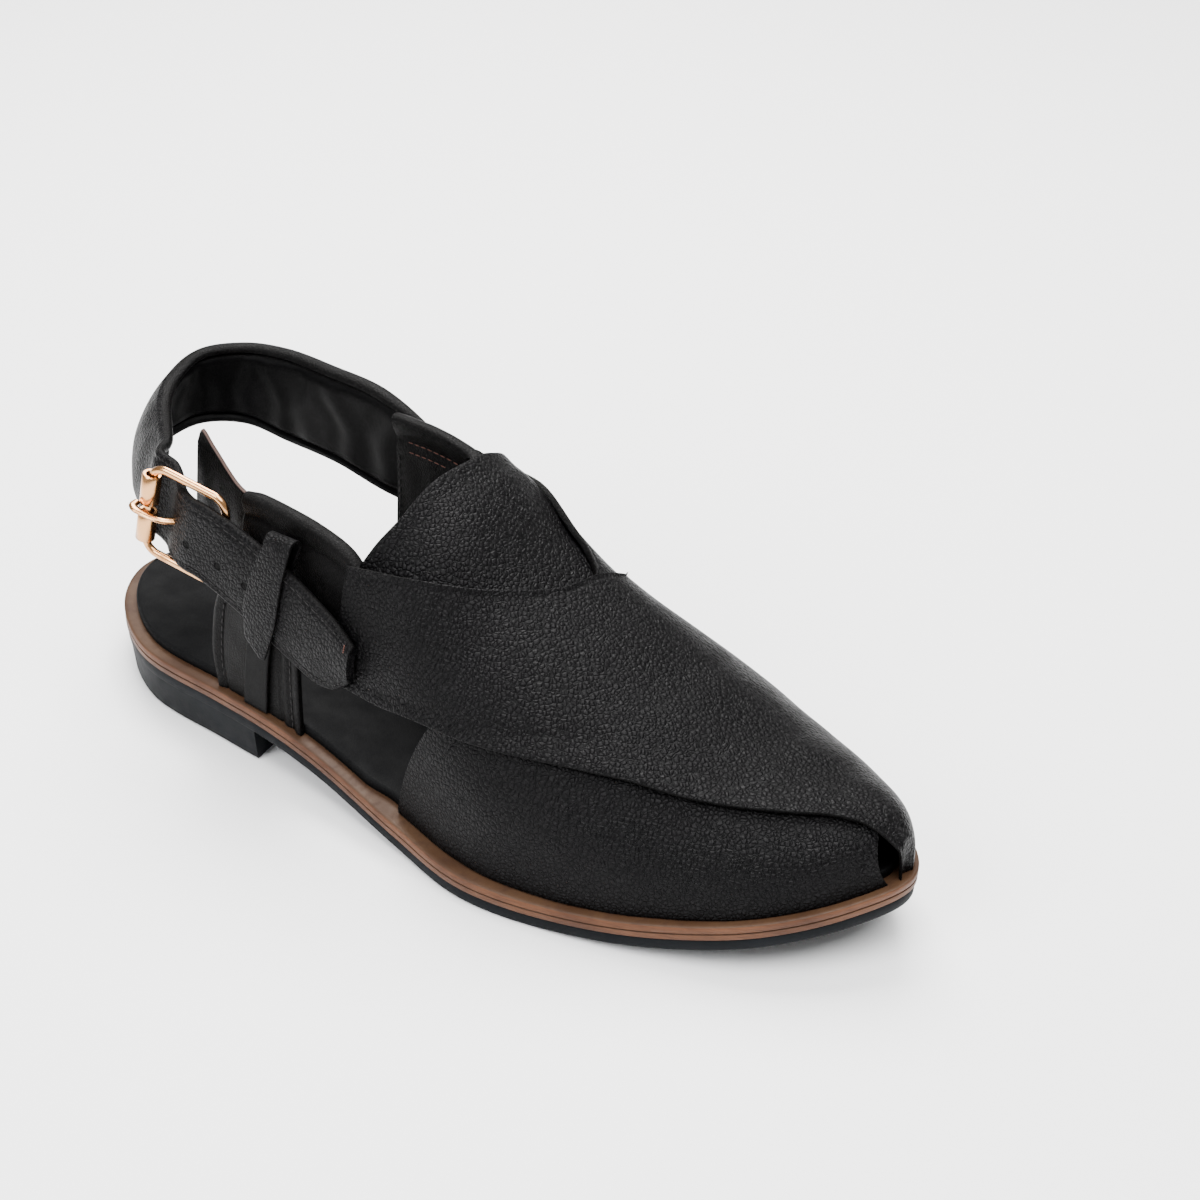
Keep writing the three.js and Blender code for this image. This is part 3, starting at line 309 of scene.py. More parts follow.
@dataclass
class Last:
    """Form inside the shoe, with the sizes in millimetres that every piece shares, the same as in the solids."""

    sole_length: float = 290.0
    ball_width: float = 104.0
    heel_width: float = 71.0
    heel_height: float = 15.6
    outsole: float = 3.9
    toe_spring: float = 17.5
    midsole: float = 4.7
    instep: float = 106.0
    collar: float = 88.0
    gap: float = 0.3
    # shares of the length where the rubber starts and ends its way down, and where the toe starts to rise
    drop_from: float = 0.27
    drop_to: float = 0.593
    spring_from: float = 0.672
    spring_power: float = 1.8
    # distance of the feather line inside the sole's edge, at the heel and at the toe
    feather_heel: float = 6.5
    feather_toe: float = 5.0
    trace_steps: int = 400

    def __post_init__(self) -> None:
        """Work out the outline and the feather line."""
        rows = [(a * self.sole_length, b * self.heel_width, c * self.heel_width) for a, b, c in HEEL_ROWS]
        rows += [(a * self.sole_length, b * self.ball_width, c * self.ball_width) for a, b, c in BALL_ROWS]
        points = [Vector((0, 0.03 * self.heel_width, 0))]
        points += [Vector((x, -out, 0)) for x, out, _ in rows]
        points += [Vector((self.sole_length, 0.063 * self.ball_width, 0))]
        points += [Vector((x, inner, 0)) for x, _, inner in reversed(rows)]
        self.outline = Spline(points, closed=True)
        self.columns = [Column(LAST_ROWS, 0, i) for i in range(1, 7)]
        self.feather = {side: self._feather(side) for side in Side}
        self.tip = min(line[0][-1] for line in self.feather.values())

    def edge(self, share: float, inset: float | Reading) -> Vector:
        """Find a point of the sole's outline, moved inward.

        Args:
            share: place round the outline.
            inset: distance inward, or a function of the share of the length.

        Returns:
            The point at height zero.
        """
        point = self.outline.at(share)
        along = (self.outline.at(share + 0.001) - self.outline.at(share - 0.001)).normalized()
        depth = inset(point.x / self.sole_length) if callable(inset) else inset
        return Vector((point.x - along.y * depth, point.y + along.x * depth, 0))

    def ring(self, inset: float | Reading, steps: int) -> Pairs:
        """Pair outline points, outside and inside.

        Args:
            inset: distance inward.
            steps: pairs from the heel to the tip.

        Returns:
            The pairs.
        """
        return [(self.edge(0.5 * i / steps, inset), self.edge(1 - 0.5 * i / steps, inset)) for i in range(steps + 1)]

    def feather_inset(self, share: float) -> float:
        """Give the feather line's distance inside the sole's edge."""
        return self.feather_heel + (self.feather_toe - self.feather_heel) * smooth_step(share, 0.55, 0.80)

    def _feather(self, side: Side) -> tuple[list[float], list[float]]:
        """Trace the feather line on one side.

        Args:
            side: side of the foot.

        Returns:
            Rising x values and their y values.
        """
        pairs = self.ring(self.feather_inset, self.trace_steps)
        line = sorted(((p[0] if side is Side.LATERAL else p[1]).to_tuple()[:2] for p in pairs))
        return [p[0] for p in line], [p[1] for p in line]

    def feather_y(self, x: float, side: Side) -> float:
        """Read the feather line.

        Args:
            x: place along the foot.
            side: side of the foot.

        Returns:
            Its y there.
        """
        xs, ys = self.feather[side]
        i = min(max(bisect_right(xs, x) - 1, 0), len(xs) - 2)
        t = min(max((x - xs[i]) / max(xs[i + 1] - xs[i], 1e-6), 0.0), 1.0)
        return ys[i] + (ys[i + 1] - ys[i]) * t

    def sole_top(self, x: float) -> float:
        """Give the height of the rubber.

        Args:
            x: place along the foot.

        Returns:
            Height above the floor.
        """
        share = x / self.sole_length
        drop = (self.heel_height - self.outsole) * smooth_step(share, self.drop_from, self.drop_to)
        rise = max((share - self.spring_from) / (1 - self.spring_from), 0.0)
        return self.heel_height - drop + self.toe_spring * rise ** self.spring_power

    def seat(self, x: float) -> float:
        """Give the height of the tan ledge.

        Args:
            x: place along the foot.

        Returns:
            Height above the floor.
        """
        return self.sole_top(x) + self.gap + self.midsole

    def section(self, x: float, side: Side) -> tuple[float, float, float, float, float]:
        """Give a cross section.

        Args:
            x: place along the foot.
            side: side of the foot.

        Returns:
            Spine, height, reach, fullness and belly.
        """
        share = x / self.sole_length
        left, right = self.feather_y(x, Side.LATERAL), self.feather_y(x, Side.MEDIAL)
        quarter = 0.125 * (right - left)
        spine = min(max(self.columns[1](share) * self.ball_width, left + quarter), right - quarter)
        pick = 0 if side is Side.LATERAL else 1
        reach = spine - left if side is Side.LATERAL else right - spine
        return (spine, self.columns[0](share) * self.instep, reach, self.columns[2 + pick](share),
                self.columns[4 + pick](share) * self.ball_width)

    def bare(self, x: float, turn: float) -> Vector:
        """Find a point of the form itself.

        Args:
            x: place along the foot.
            turn: -1 outside feather, 0 ridge, 1 inside feather.

        Returns:
            The point.
        """
        side = Side.LATERAL if turn < 0 else Side.MEDIAL
        spine, height, reach, full, belly = self.section(x, side)
        angle = min(abs(turn), 1.0) * math.pi / 2
        out = reach * math.sin(angle) ** (2 / full) + belly * math.sin(2 * angle)
        lift = height * max(math.cos(angle), 0.0) ** (2 / full)
        return Vector((x, spine + side.value * out, self.seat(x) + self.gap + lift))

    def shell(self, share: float, turn: float, layer: float) -> Vector:
        """Find a point outside the form.

        Args:
            share: share of the length.
            turn: turn over the foot.
            layer: distance outside.

        Returns:
            The point.
        """
        x = min(share * self.sole_length, self.tip - 0.4)
        point = self.bare(x, turn)
        along = self.bare(min(x + 0.5, self.tip), turn) - self.bare(x - 0.5, turn)
        over = self.bare(x, min(turn + 0.02, 1)) - self.bare(x, max(turn - 0.02, -1))
        normal = along.cross(over).normalized()
        if abs(turn) > 0.999:
            normal = Vector((normal.x, normal.y, 0)).normalized()
        point += normal * layer
        point.z = max(point.z, self.seat(point.x) + self.gap * 0.5)
        return point

    def wall(self, x: float, height: float, side: Side, layer: float) -> Vector:
        """Find a point on the side wall.

        Args:
            x: place along the foot.
            height: height above the floor.
            side: side of the foot.
            layer: distance outside.

        Returns:
            The point.
        """
        spine, top, reach, full, belly = self.section(x, side)
        lift = min(max((height - self.seat(x)) / top, 0.0), 0.98)
        angle = math.acos(lift ** (full / 2))
        out = reach * math.sin(angle) ** (2 / full) + belly * math.sin(2 * angle)
        return Vector((x, spine + side.value * (out + layer), height))


class Socket:
    """Shader value with arithmetic."""

    def __init__(self, graph: Graph, link: bpy.types.NodeSocket | float) -> None:
        """Wrap a node's output or a number.

        Args:
            graph: graph that the value belongs to.
            link: output socket or number.
        """
        self.graph = graph
        self.link = link

    def _math(self, kind: str, first: Socket | float, second: Socket | float) -> Socket:
        """Join two values with a Math node.

        Args:
            kind: operation.
            first: first value.
            second: second value.

        Returns:
            The result.
        """
        return self.graph.node("ShaderNodeMath", {0: first, 1: second}, operation=kind)

    def __add__(self, other: Socket | float) -> Socket:
        """Add a value."""
        return self._math("ADD", self, other)

    def __radd__(self, other: Socket | float) -> Socket:
        """Add to a number."""
        return self._math("ADD", self, other)

    def __sub__(self, other: Socket | float) -> Socket:
        """Take a value away."""
        return self._math("SUBTRACT", self, other)

    def __rsub__(self, other: Socket | float) -> Socket:
        """Take from a number."""
        return self._math("SUBTRACT", other, self)

    def __mul__(self, other: Socket | float) -> Socket:
        """Multiply by a value."""
        return self._math("MULTIPLY", self, other)

    def __rmul__(self, other: Socket | float) -> Socket:
        """Multiply a number."""
        return self._math("MULTIPLY", self, other)

    def clamp(self, low: float, high: float) -> Socket:
        """Spread a range over 0 to 1.

        Args:
            low: value that becomes 0.
            high: value that becomes 1.

        Returns:
            The eased share.
        """
        return self.graph.node("ShaderNodeMapRange", {"Value": self, "From Min": low, "From Max": high},
                               output="Result", interpolation_type="SMOOTHSTEP")


class Graph:
    """Node graph of one material."""

    def __init__(self, name: str) -> None:
        """Start a material.

        Args:
            name: its name.
        """
        self.material = bpy.data.materials.new(name)
        self.material.use_nodes = True
        self.tree = self.material.node_tree
        self.shader = self.tree.nodes["Principled BSDF"]
        self.place = self.node("ShaderNodeTexCoord", {}, output="Object")

    def node(self, kind: str, inputs: dict, output: str | int = 0, **settings: object) -> Socket:
        """Make any node.

        Args:
            kind: node type.
            inputs: values or links for its inputs.
            output: output to hand back.
            **settings: attributes of the node.

        Returns:
            The wanted output.
        """
        made = self.tree.nodes.new(kind)
        for key, value in settings.items():
            setattr(made, key, value)
        for key, value in inputs.items():
            if isinstance(value, Socket):
                self.tree.links.new(value.link, made.inputs[key])
            else:
                made.inputs[key].default_value = value
        return Socket(self, made.outputs[output])

    def noise(self, scale: float, detail: float = 3.0, where: Socket | None = None) -> Socket:
        """Add noise.

        Args:
            scale: features per metre.
            detail: octaves.
            where: coordinates, the object's own by default.

        Returns:
            The noise from 0 to 1.
        """
        return self.node("ShaderNodeTexNoise", {"Vector": where or self.place, "Scale": scale, "Detail": detail})

    def cells(self, scale: float, feature: str = "DISTANCE_TO_EDGE", where: Socket | None = None) -> Socket:
        """Add a cell pattern.

        Args:
            scale: cells per metre.
            feature: distance to read.
            where: coordinates, the object's own by default.

        Returns:
            The distance.
        """
        return self.node("ShaderNodeTexVoronoi", {"Vector": where or self.place, "Scale": scale}, output="Distance",
                         feature=feature)

    def warp(self, amount: float, scale: float) -> Socket:
        """Bend the coordinates.

        Args:
            amount: reach in metres.
            scale: features per metre.

        Returns:
            New coordinates.
        """
        sway = self.node("ShaderNodeTexNoise", {"Vector": self.place, "Scale": scale, "Detail": 2.0}, output="Color")
        move = self.node("ShaderNodeVectorMath", {0: sway, 1: (amount,) * 3}, operation="MULTIPLY")
        return self.node("ShaderNodeVectorMath", {0: self.place, 1: move}, operation="ADD")

    def mix(self, share: Socket, first: Sequence[float] | Socket, second: Sequence[float] | Socket) -> Socket:
        """Mix two colours.

        Args:
            share: mask from 0 to 1.
            first: colour at 0.
            second: colour at 1.

        Returns:
            The mixed colour.
        """
        return self.node("ShaderNodeMix", {0: share, 6: first, 7: second}, output=2, data_type="RGBA")

    def upward(self) -> Socket:
        """Tell how far a face looks up.

        Returns:
            The normal's z in the object's own axes.
        """
        normal = self.node("ShaderNodeTexCoord", {}, output="Normal")
        return self.node("ShaderNodeSeparateXYZ", {0: normal}, output="Z")

    def near(self, centre: Vector, low: float, high: float) -> Socket:
        """Mark what lies near a point.

        Args:
            centre: the point in metres.
            low: distance fully marked.
            high: distance where the mark ends.

        Returns:
            The mask.
        """
        away = self.node("ShaderNodeVectorMath", {0: self.place, 1: centre}, output="Value", operation="DISTANCE")
        return 1 - away.clamp(low, high)

    def finish(self, color: Socket, rough: Socket, height: Socket, depth: float) -> bpy.types.Material:
        """Join everything to the shader.

        Args:
            color: base colour.
            rough: roughness.
            height: relief.
            depth: relief in metres.

        Returns:
            The material.
        """
        self.tree.links.new(color.link, self.shader.inputs["Base Color"])
        self.tree.links.new(rough.link, self.shader.inputs["Roughness"])
        bump = self.node("ShaderNodeBump", {"Height": height, "Distance": depth, "Strength": 1.0}, output="Normal")
        self.tree.links.new(bump.link, self.shader.inputs["Normal"])
        return self.material


@dataclass(frozen=True)
class Leather:
    """Look of one leather or thread; its cells are counted per metre and its relief is in metres."""

    dark: Color
    pale: Color
    rough: tuple[float, float]
    cell: float
    relief: float
    gloss: float

    def material(self, name: str, holes: Sequence[Vector] = ()) -> bpy.types.Material:
        """Make the leather.

        Args:
            name: name of the material.
            holes: centres of punched holes in metres, each painted near black as shade.

        Returns:
            The material.
        """
        g = Graph(name)
        bent = g.warp(0.0012, 260.0)
        crack = g.cells(self.cell, where=bent).clamp(0.0, 0.22)
        dome = 1 - g.cells(self.cell, "F1", bent).clamp(0.05, 0.75)
        pebble = crack * 0.6 + dome * 0.4
        small = g.cells(self.cell * 2.3, where=bent).clamp(0.0, 0.4)
        broad = g.noise(38.0, 3.0)
        patch = g.noise(140.0, 4.0)
        fine = g.noise(self.cell * 5.0, 2.0)
        worn = (broad * 0.6 + patch * 0.4).clamp(0.36, 0.64)
        color = g.mix((worn * 0.3 + 0.7) * pebble, self.dark, self.pale)
        low, high = self.rough
        rough = low + (high - low) * (patch.clamp(0.3, 0.7) * 0.6 + (1 - pebble) * 0.4)
        height = pebble * 0.80 + small * 0.12 + fine * 0.08
        for centre in holes:
            hole_shade = g.near(centre, 0.0010, 0.0015)
            # painted shade: each punched hole is coloured near black instead of being cut, and also dented by the bump
            color = g.mix(hole_shade, color, (0.001, 0.001, 0.001, 1))
            height = height - hole_shade * 4.0
            rough = rough + hole_shade * 0.3
        g.shader.inputs["Specular IOR Level"].default_value = self.gloss
        return g.finish(color, rough, height, self.relief)


@dataclass(frozen=True)
class Rubber:
    """Look of the black sole."""

    dark: Color = (0.0018, 0.0025, 0.0034, 1)
    dusty: Color = (0.0038, 0.0048, 0.0064, 1)
    gloss: float = 0.1
    relief: float = 0.00006

    def material(self, name: str) -> bpy.types.Material:
        """Make the rubber.

        Args:
            name: name of the material.

        Returns:
            The material.
        """
        g = Graph(name)
        color = g.mix(g.noise(55.0, 4.0).clamp(0.45, 0.75), self.dark, self.dusty)
        rough = 0.5 + g.noise(220.0, 3.0) * 0.25
        g.shader.inputs["Specular IOR Level"].default_value = self.gloss
        return g.finish(color, rough, g.noise(900.0, 3.0) + g.noise(3500.0, 2.0) * 0.4, self.relief)


@dataclass(frozen=True)
class Welt:
    """Look of the tan band: the tones of its side and of its ledge, and its dark fibres."""

    side: tuple[Color, Color] = ((0.054, 0.018, 0.006, 1), (0.096, 0.036, 0.014, 1))
    ledge: tuple[Color, Color] = ((0.036, 0.016, 0.007, 1), (0.054, 0.027, 0.013, 1))
    fibre: Color = (0.028, 0.012, 0.007, 1)
    gloss: float = 0.22
    relief: float = 0.00008

    def material(self, name: str) -> bpy.types.Material:
        """Make the tan leather.

        Args:
            name: name of the material.

        Returns:
            The material.
        """
        g = Graph(name)
        up = g.upward().clamp(0.35, 0.85)
        stretch = g.node("ShaderNodeVectorMath", {0: g.place, 1: (0.35, 0.35, 4.0)}, operation="MULTIPLY")
        grain = g.noise(700.0, 5.0, where=stretch)
        blotch = g.noise(60.0, 4.0).clamp(0.35, 0.65)
        base = g.mix(up, g.mix(blotch, *self.side), g.mix(blotch, *self.ledge))
        color = g.mix(grain.clamp(0.45, 0.72) * 0.45, base, self.fibre)
        g.shader.inputs["Specular IOR Level"].default_value = self.gloss
        return g.finish(color, 0.42 + grain * 0.3, grain + g.noise(1800.0, 3.0) * 0.3, self.relief)


@dataclass(frozen=True)
class Gold:
    """Look of the buckle's pale gold."""

    bright: Color = (0.64, 0.34, 0.15, 1)
    tarnished: Color = (0.40, 0.19, 0.075, 1)
    relief: float = 0.00002

    def material(self, name: str) -> bpy.types.Material:
        """Make the metal.

        Args:
            name: name of the material.

        Returns:
            The material.
        """
        g = Graph(name)
        tarnish = g.noise(160.0, 4.0).clamp(0.45, 0.75)
        scratch = g.noise(2600.0, 2.0)
        color = g.mix(tarnish, self.bright, self.tarnished)
        g.shader.inputs["Metallic"].default_value = 1.0
        return g.finish(color, 0.16 + tarnish * 0.14 + scratch * 0.08, scratch + g.noise(400.0, 2.0), self.relief)


@dataclass(frozen=True)
class Ground:
    """Look of the studio's floor."""

    low: Color = (0.90, 0.90, 0.90, 1)
    high: Color = (0.93, 0.93, 0.93, 1)
    relief: float = 0.00001

    def material(self, name: str) -> bpy.types.Material:
        """Make the pale floor.

        Args:
            name: name of the material.

        Returns:
            The material.
        """
        g = Graph(name)
        tone = g.noise(3.0, 2.0)
        return g.finish(g.mix(tone, self.low, self.high), 0.75 + tone * 0.05, g.noise(400.0, 2.0), self.relief)


PEBBLED = Leather((0.0003, 0.0003, 0.0004, 1), (0.0033, 0.0029, 0.0033, 1), (0.36, 0.52), 740, 0.00036, 0.08)
LOOKS = {
    Finish.PEBBLED: PEBBLED,
    Finish.SMOOTH: Leather((0.0005, 0.0005, 0.0005, 1), (0.0024, 0.0020, 0.0020, 1), (0.40, 0.56), 1300, 0.00014,
                           0.075),
    Finish.LINING: Leather((0.0004, 0.0004, 0.0005, 1), (0.0011, 0.0010, 0.0011, 1), (0.42, 0.56), 1900, 0.00005,
                           0.055),
    Finish.FOOTBED: Leather((0.0014, 0.0015, 0.0017, 1), (0.0024, 0.0025, 0.0028, 1), (0.55, 0.75), 2200, 0.00004,
                            0.07),
    Finish.RAW: Leather((0.028, 0.014, 0.011, 1), (0.06, 0.027, 0.019, 1), (0.6, 0.8), 2500, 0.00006, 0.3),
    Finish.RED: Leather((0.055, 0.020, 0.014, 1), (0.10, 0.038, 0.026, 1), (0.6, 0.8), 3000, 0.00004, 0.3),
    Finish.DARK: Leather((0.006, 0.0055, 0.0055, 1), (0.014, 0.012, 0.0115, 1), (0.55, 0.7), 3000, 0.00004, 0.3),
    Finish.RUBBER: Rubber(),
    Finish.WELT: Welt(),
    Finish.GOLD: Gold(),
}


@dataclass
class Piece:
    """One finished object of the scene, drawn in the millimetres of the solids."""

    name: str
    slot: str
    materials: list[bpy.types.Material]
    replaces: tuple[str, ...]
    shift: Vector
    mesh: bmesh.types.BMesh = field(default_factory=bmesh.new)

    def grid(self, rows: int, columns: int, surface: Surface, paint: Paint) -> list[bmesh.types.BMEdge]:
        """Lay a grid of cells on a surface.

        Args:
            rows: cells along.
            columns: cells across.
            surface: point at two shares.
            paint: material number of the cell at two shares.

        Returns:
            The edges of its rim.
        """
        made = bmesh.ops.create_grid(self.mesh, x_segments=rows, y_segments=columns, size=0.5)["verts"]
        faces = {face for vert in made for face in vert.link_faces}
        for face in faces:
            middle = face.calc_center_median()
            face.material_index = paint(middle.x + 0.5, middle.y + 0.5)
        for vert in made:
            vert.co = surface(min(max(vert.co.x + 0.5, 0.0), 1.0), min(max(vert.co.y + 0.5, 0.0), 1.0))
        return [edge for edge in {edge for face in faces for edge in face.edges} if len(edge.link_faces) == 1]

    def merge(self) -> None:
        """Join vertices that lie on each other."""
        bmesh.ops.remove_doubles(self.mesh, verts=self.mesh.verts[:], dist=MERGE)

    def sheet(self, rows: int, columns: int, outer: Surface, inner: Surface, rim: float) -> None:
        """Build a leather sheet: outer face, inner face and rounded rim, in the piece's three materials.

        Args:
            rows: cells along.
            columns: cells across.
            outer: outer face.
            inner: inner face.
            rim: size of the rounding in millimetres.
        """
        loops = [self.grid(rows, columns, outer, lambda s, t: 0), self.grid(rows, columns, inner, lambda s, t: 1)]
        for face in bmesh.ops.bridge_loops(self.mesh, edges=loops[0] + loops[1])["faces"]:
            face.material_index = 2
        bmesh.ops.recalc_face_normals(self.mesh, faces=self.mesh.faces[:])
        sharp = [edge for loop in loops for edge in loop if edge.is_valid]
        bmesh.ops.bevel(self.mesh, geom=sharp, offset=rim, segments=2, profile=0.5, affect="EDGES", material=-1)

    def skin(self, rings: Sequence[Sequence[Vector]], paint: Paint = lambda s, t: 0, fill: bool = True) -> None:
        """Roll a grid into a skin through closed rings.

        Args:
            rings: points of each ring, as many in each.
            paint: material number of the cell at two shares.
            fill: whether open ends are closed.
        """
        along, around = len(rings) - 1, len(rings[0])
        self.grid(along, around, lambda s, t: rings[round(s * along)][round(t * around) % around], paint)
        self.merge()
        if fill:
            rims = [edge for edge in self.mesh.edges if edge.is_boundary]
            bmesh.ops.holes_fill(self.mesh, edges=rims, sides=0)

    def place(self, angle: float) -> bpy.types.Object:
        """Turn the mesh into an object that rides on the shoe.

        Args:
            angle: edges whose faces meet more sharply than this stay sharp, in degrees.

        Returns:
            The object.
        """
        move = Matrix.Scale(MM, 4) @ Matrix.Translation(self.shift)
        bmesh.ops.transform(self.mesh, matrix=move, verts=self.mesh.verts[:])
        bmesh.ops.recalc_face_normals(self.mesh, faces=self.mesh.faces[:])
        for face in self.mesh.faces:
            face.smooth = True
        for edge in self.mesh.edges:
            edge.smooth = len(edge.link_faces) != 2 or edge.calc_face_angle(0.0) < math.radians(angle)
        data = bpy.data.meshes.new(self.name)
        self.mesh.to_mesh(data)
        self.mesh.free()
        for material in self.materials:
            data.materials.append(material)
        made = bpy.data.objects.new(self.name, data)
        bpy.context.scene.collection.objects.link(made)
        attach(made, "root")
        if self.replaces:
            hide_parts(*self.replaces)
        LOG.info("%s has %d faces", self.name, len(data.polygons))
        return made


@dataclass
class SubAssembly:
    """What each sub-assembly works with: the form, the materials and the move into the shared frame."""

    last: Last
    materials: dict[Finish, bpy.types.Material]
    shift: Vector

    def piece(self, name: str, slot: str, node: str, *finishes: Finish) -> Piece:
        """Start a piece.

        Args:
            name: its name.
            slot: what its surface is; not used.
            node: node that it stands for, or an empty name.
            *finishes: its finishes in order.

        Returns:
            The piece, still empty.
        """
        return Piece(name, slot, [self.materials[finish] for finish in finishes], (node,) if node else (), self.shift)


@dataclass
class Sole(SubAssembly):
    """Rubber, tan band and footbed, with their sizes in millimetres."""

    ledge: float = 4.3
    insole: float = 3.0
    bed_under: float = 6.5
    heel_taper: float = 1.6
    breast_at: float = 87.0
    breast_hollow: float = 3.0
    heel_steps: int = 70
    breast_steps: int = 14

    def build(self) -> None:
        """Make the three layers."""
        self.rubber()
        self.band()
        self.footbed()

    def layer(self, piece: Piece, base: Reading, marks: Rows, steps: int, across: int,
              edge: Reading | None = None, dish: Callable[[float, float], float] | None = None) -> None:
        """Build one layer from rings of the sole's outline, closed below and above.

        Args:
            piece: piece that takes it.
            base: height of its underside.
            marks: distance inward and rise of each ring.
            steps: cells from the heel to the tip.
            across: cells over the caps.
            edge: further distance inward by the share of the length.
            dish: drop of the top by the shares along and across.
        """
        rows, loops = [], []
        for inward, rise in marks:
            inset = (lambda share, m=inward: edge(share) + m) if edge else inward
            pairs = self.last.ring(inset, steps)
            loop = [p for p, _ in pairs] + [q for _, q in reversed(pairs[1:-1])]
            loops.append([Vector((p.x, p.y, base(p.x) + rise)) for p in loop])
            rows.append(pairs)
        piece.skin(loops, fill=False)
        self.cap(piece, rows[0], lambda x: base(x) + marks[0][1], across, None)
        self.cap(piece, rows[-1], lambda x: base(x) + marks[-1][1], across, dish)

    def cap(self, piece: Piece, pairs: Pairs, height: Reading, across: int,
            dish: Callable[[float, float], float] | None) -> None:
        """Close a layer from edge to edge.

        Args:
            piece: piece that takes the cap.
            pairs: outline points, outside and inside.
            height: height above the floor.
            across: cells from side to side.
            dish: drop by the shares along and across.
        """
        steps = len(pairs) - 1

        def surface(s: float, t: float) -> Vector:
            """Find a point of the cap.

            Args:
                s: share along.
                t: share across.

            Returns:
                The point.
            """
            row = round(s * steps)
            spot = pairs[row][0].lerp(pairs[row][1], t)
            spot.z = height(spot.x)
            if dish and 0 < row < steps:
                spot.z -= dish(spot.x / self.last.sole_length, t)
            return spot

        piece.grid(steps, across, surface, lambda s, t: 0)
        piece.merge()

    def rubber(self) -> None:
        """Make the thin forepart and the heel block."""
        thick = self.last.outsole
        piece = self.piece("rubber_sole", "rubber", "outsole", Finish.RUBBER)
        marks = ((1.1, -thick), (0.65, 0.2 - thick), (0.4, 0.7 - thick), (0.4, -0.35), (0.6, 0.0))
        self.layer(piece, self.last.sole_top, marks, 140, 10)
        top = self.last.heel_height - thick
        levels = ((0.0, self.heel_taper + 0.9, 0.6), (0.25, self.heel_taper + 0.35, 0.15),
                  (0.9, self.heel_taper, 0.0), (top - 0.2, 0.75, 0.0), (top + 0.7, 0.6, 0.0))
        piece.skin([self.heel_ring(*level) for level in levels])
        piece.place(50.0)

    def heel_ring(self, height: float, inset: float, rounding: float) -> list[Vector]:
        """Draw the heel block's outline with its hollow breast.

        Args:
            height: height above the floor.
            inset: distance inside the sole's outline.
            rounding: distance of the breast behind its place.

        Returns:
            Points round the block.
        """
        breast = self.breast_at - rounding
        pairs = [pair for pair in self.last.ring(inset, 240) if pair[0].x < breast]
        side = [p for p, _ in reversed(pairs)] + [q for _, q in pairs[1:]]
        keep = [side[round(i * (len(side) - 1) / self.heel_steps)].copy() for i in range(self.heel_steps + 1)]
        keep[0].x = keep[-1].x = breast
        for i in range(1, self.breast_steps):
            t = i / self.breast_steps
            point = keep[self.heel_steps].lerp(keep[0], t)
            point.x -= self.breast_hollow * 4 * t * (1 - t)
            keep.append(point)
        return [Vector((p.x, p.y, height)) for p in keep]

    def band(self) -> None:
        """Make the tan band with its fine groove."""
        last = self.last
        piece = self.piece("tan_band", "welt", "midsole", Finish.WELT)
        thick = last.midsole + last.gap * 0.7
        marks = ((0.35, 0.0), (0.0, 0.35), (0.0, 2.0), (0.42, 2.22), (0.42, 2.38), (0.0, 2.6), (0.0, thick - 0.6),
                 (0.2, thick - 0.2), (0.65, thick), (1.6, thick + 0.02))
        self.layer(piece, lambda x: last.sole_top(x) + last.gap * 0.3, marks, 170, 6)
        piece.place(60.0)

    def footbed(self) -> None:
        """Make the footbed with a soft edge and a shallow seat for the heel."""
        last = self.last
        piece = self.piece("padded_footbed", "footbed", "insole", Finish.FOOTBED)
        thick = self.insole + 0.15
        marks = ((0.15, 0.0), (0.0, 0.4), (0.0, thick - 1.1), (0.15, thick - 0.55), (0.5, thick - 0.15), (1.1, thick))
        self.layer(piece, lambda x: last.seat(x) + last.gap * 0.4, marks, 150, 20, self.bed_inset, self.bed_dish)
        piece.place(60.0)

    def bed_inset(self, share: float) -> float:
        """Give the footbed's distance inside the sole's edge."""
        return self.ledge + (self.bed_under - self.ledge) * smooth_step(share, 0.455, 0.495)

    @staticmethod
    def bed_dish(share: float, side: float) -> float:
        """Give the footbed's drop under the heel and the ball."""
        return math.sin(math.pi * side) ** 1.2 * relief(BED_HOLLOWS, share)


@dataclass(frozen=True)
class Crease:
    """Soft trough or ridge across the bands: its middle, slant, length, width and height in millimetres."""

    x: float
    y: float
    slant: float
    length: float
    width: float
    height: float

    def lift(self, point: Vector) -> float:
        """Measure the crease at a point.

        Args:
            point: point of the surface.

        Returns:
            Move along the normal in millimetres.
        """
        dx, dy = point.x - self.x, point.y - self.y
        c, s = math.cos(self.slant), math.sin(self.slant)
        along, off = dx * c + dy * s, -dx * s + dy * c
        return self.height * math.exp(-(along / self.length) ** 2 - (off / self.width) ** 2)


TOP_CREASES = (
    Crease(212, 12, 1.35, 24, 6, -0.45), Crease(222, 14, 1.30, 22, 5, 0.30), Crease(196, 16, 1.45, 26, 7, 0.35),
    Crease(242, 18, 1.15, 16, 5, -0.35), Crease(250, 10, 1.1, 14, 4, 0.25), Crease(172, -8, 1.2, 18, 7, -0.4),
    Crease(150, -26, 0.5, 12, 5, 0.35), Crease(262, 16, 0.9, 12, 4, -0.3),
)
UNDER_CREASES = (
    Crease(178, -44, 1.0, 12, 6, -0.4), Crease(206, -40, 1.9, 14, 6, 0.3), Crease(232, -32, 2.1, 12, 5, -0.35),
    Crease(250, -22, 2.2, 10, 4, 0.3),
)


@dataclass(frozen=True)
class Band:
    """One crossing band: its edges, its layers outside the form and the lift of its free edge."""

    name: str
    rows: Rows
    inner: float
    outer: float
    lift: float
    creases: tuple[Crease, ...]
    capped: bool

    def columns(self) -> list[Column]:
        """Read the edges as functions of the share along the band."""
        steps = [(i / (len(self.rows) - 1), *row) for i, row in enumerate(self.rows)]
        return [Column(steps, 0, i) for i in range(1, 5)]


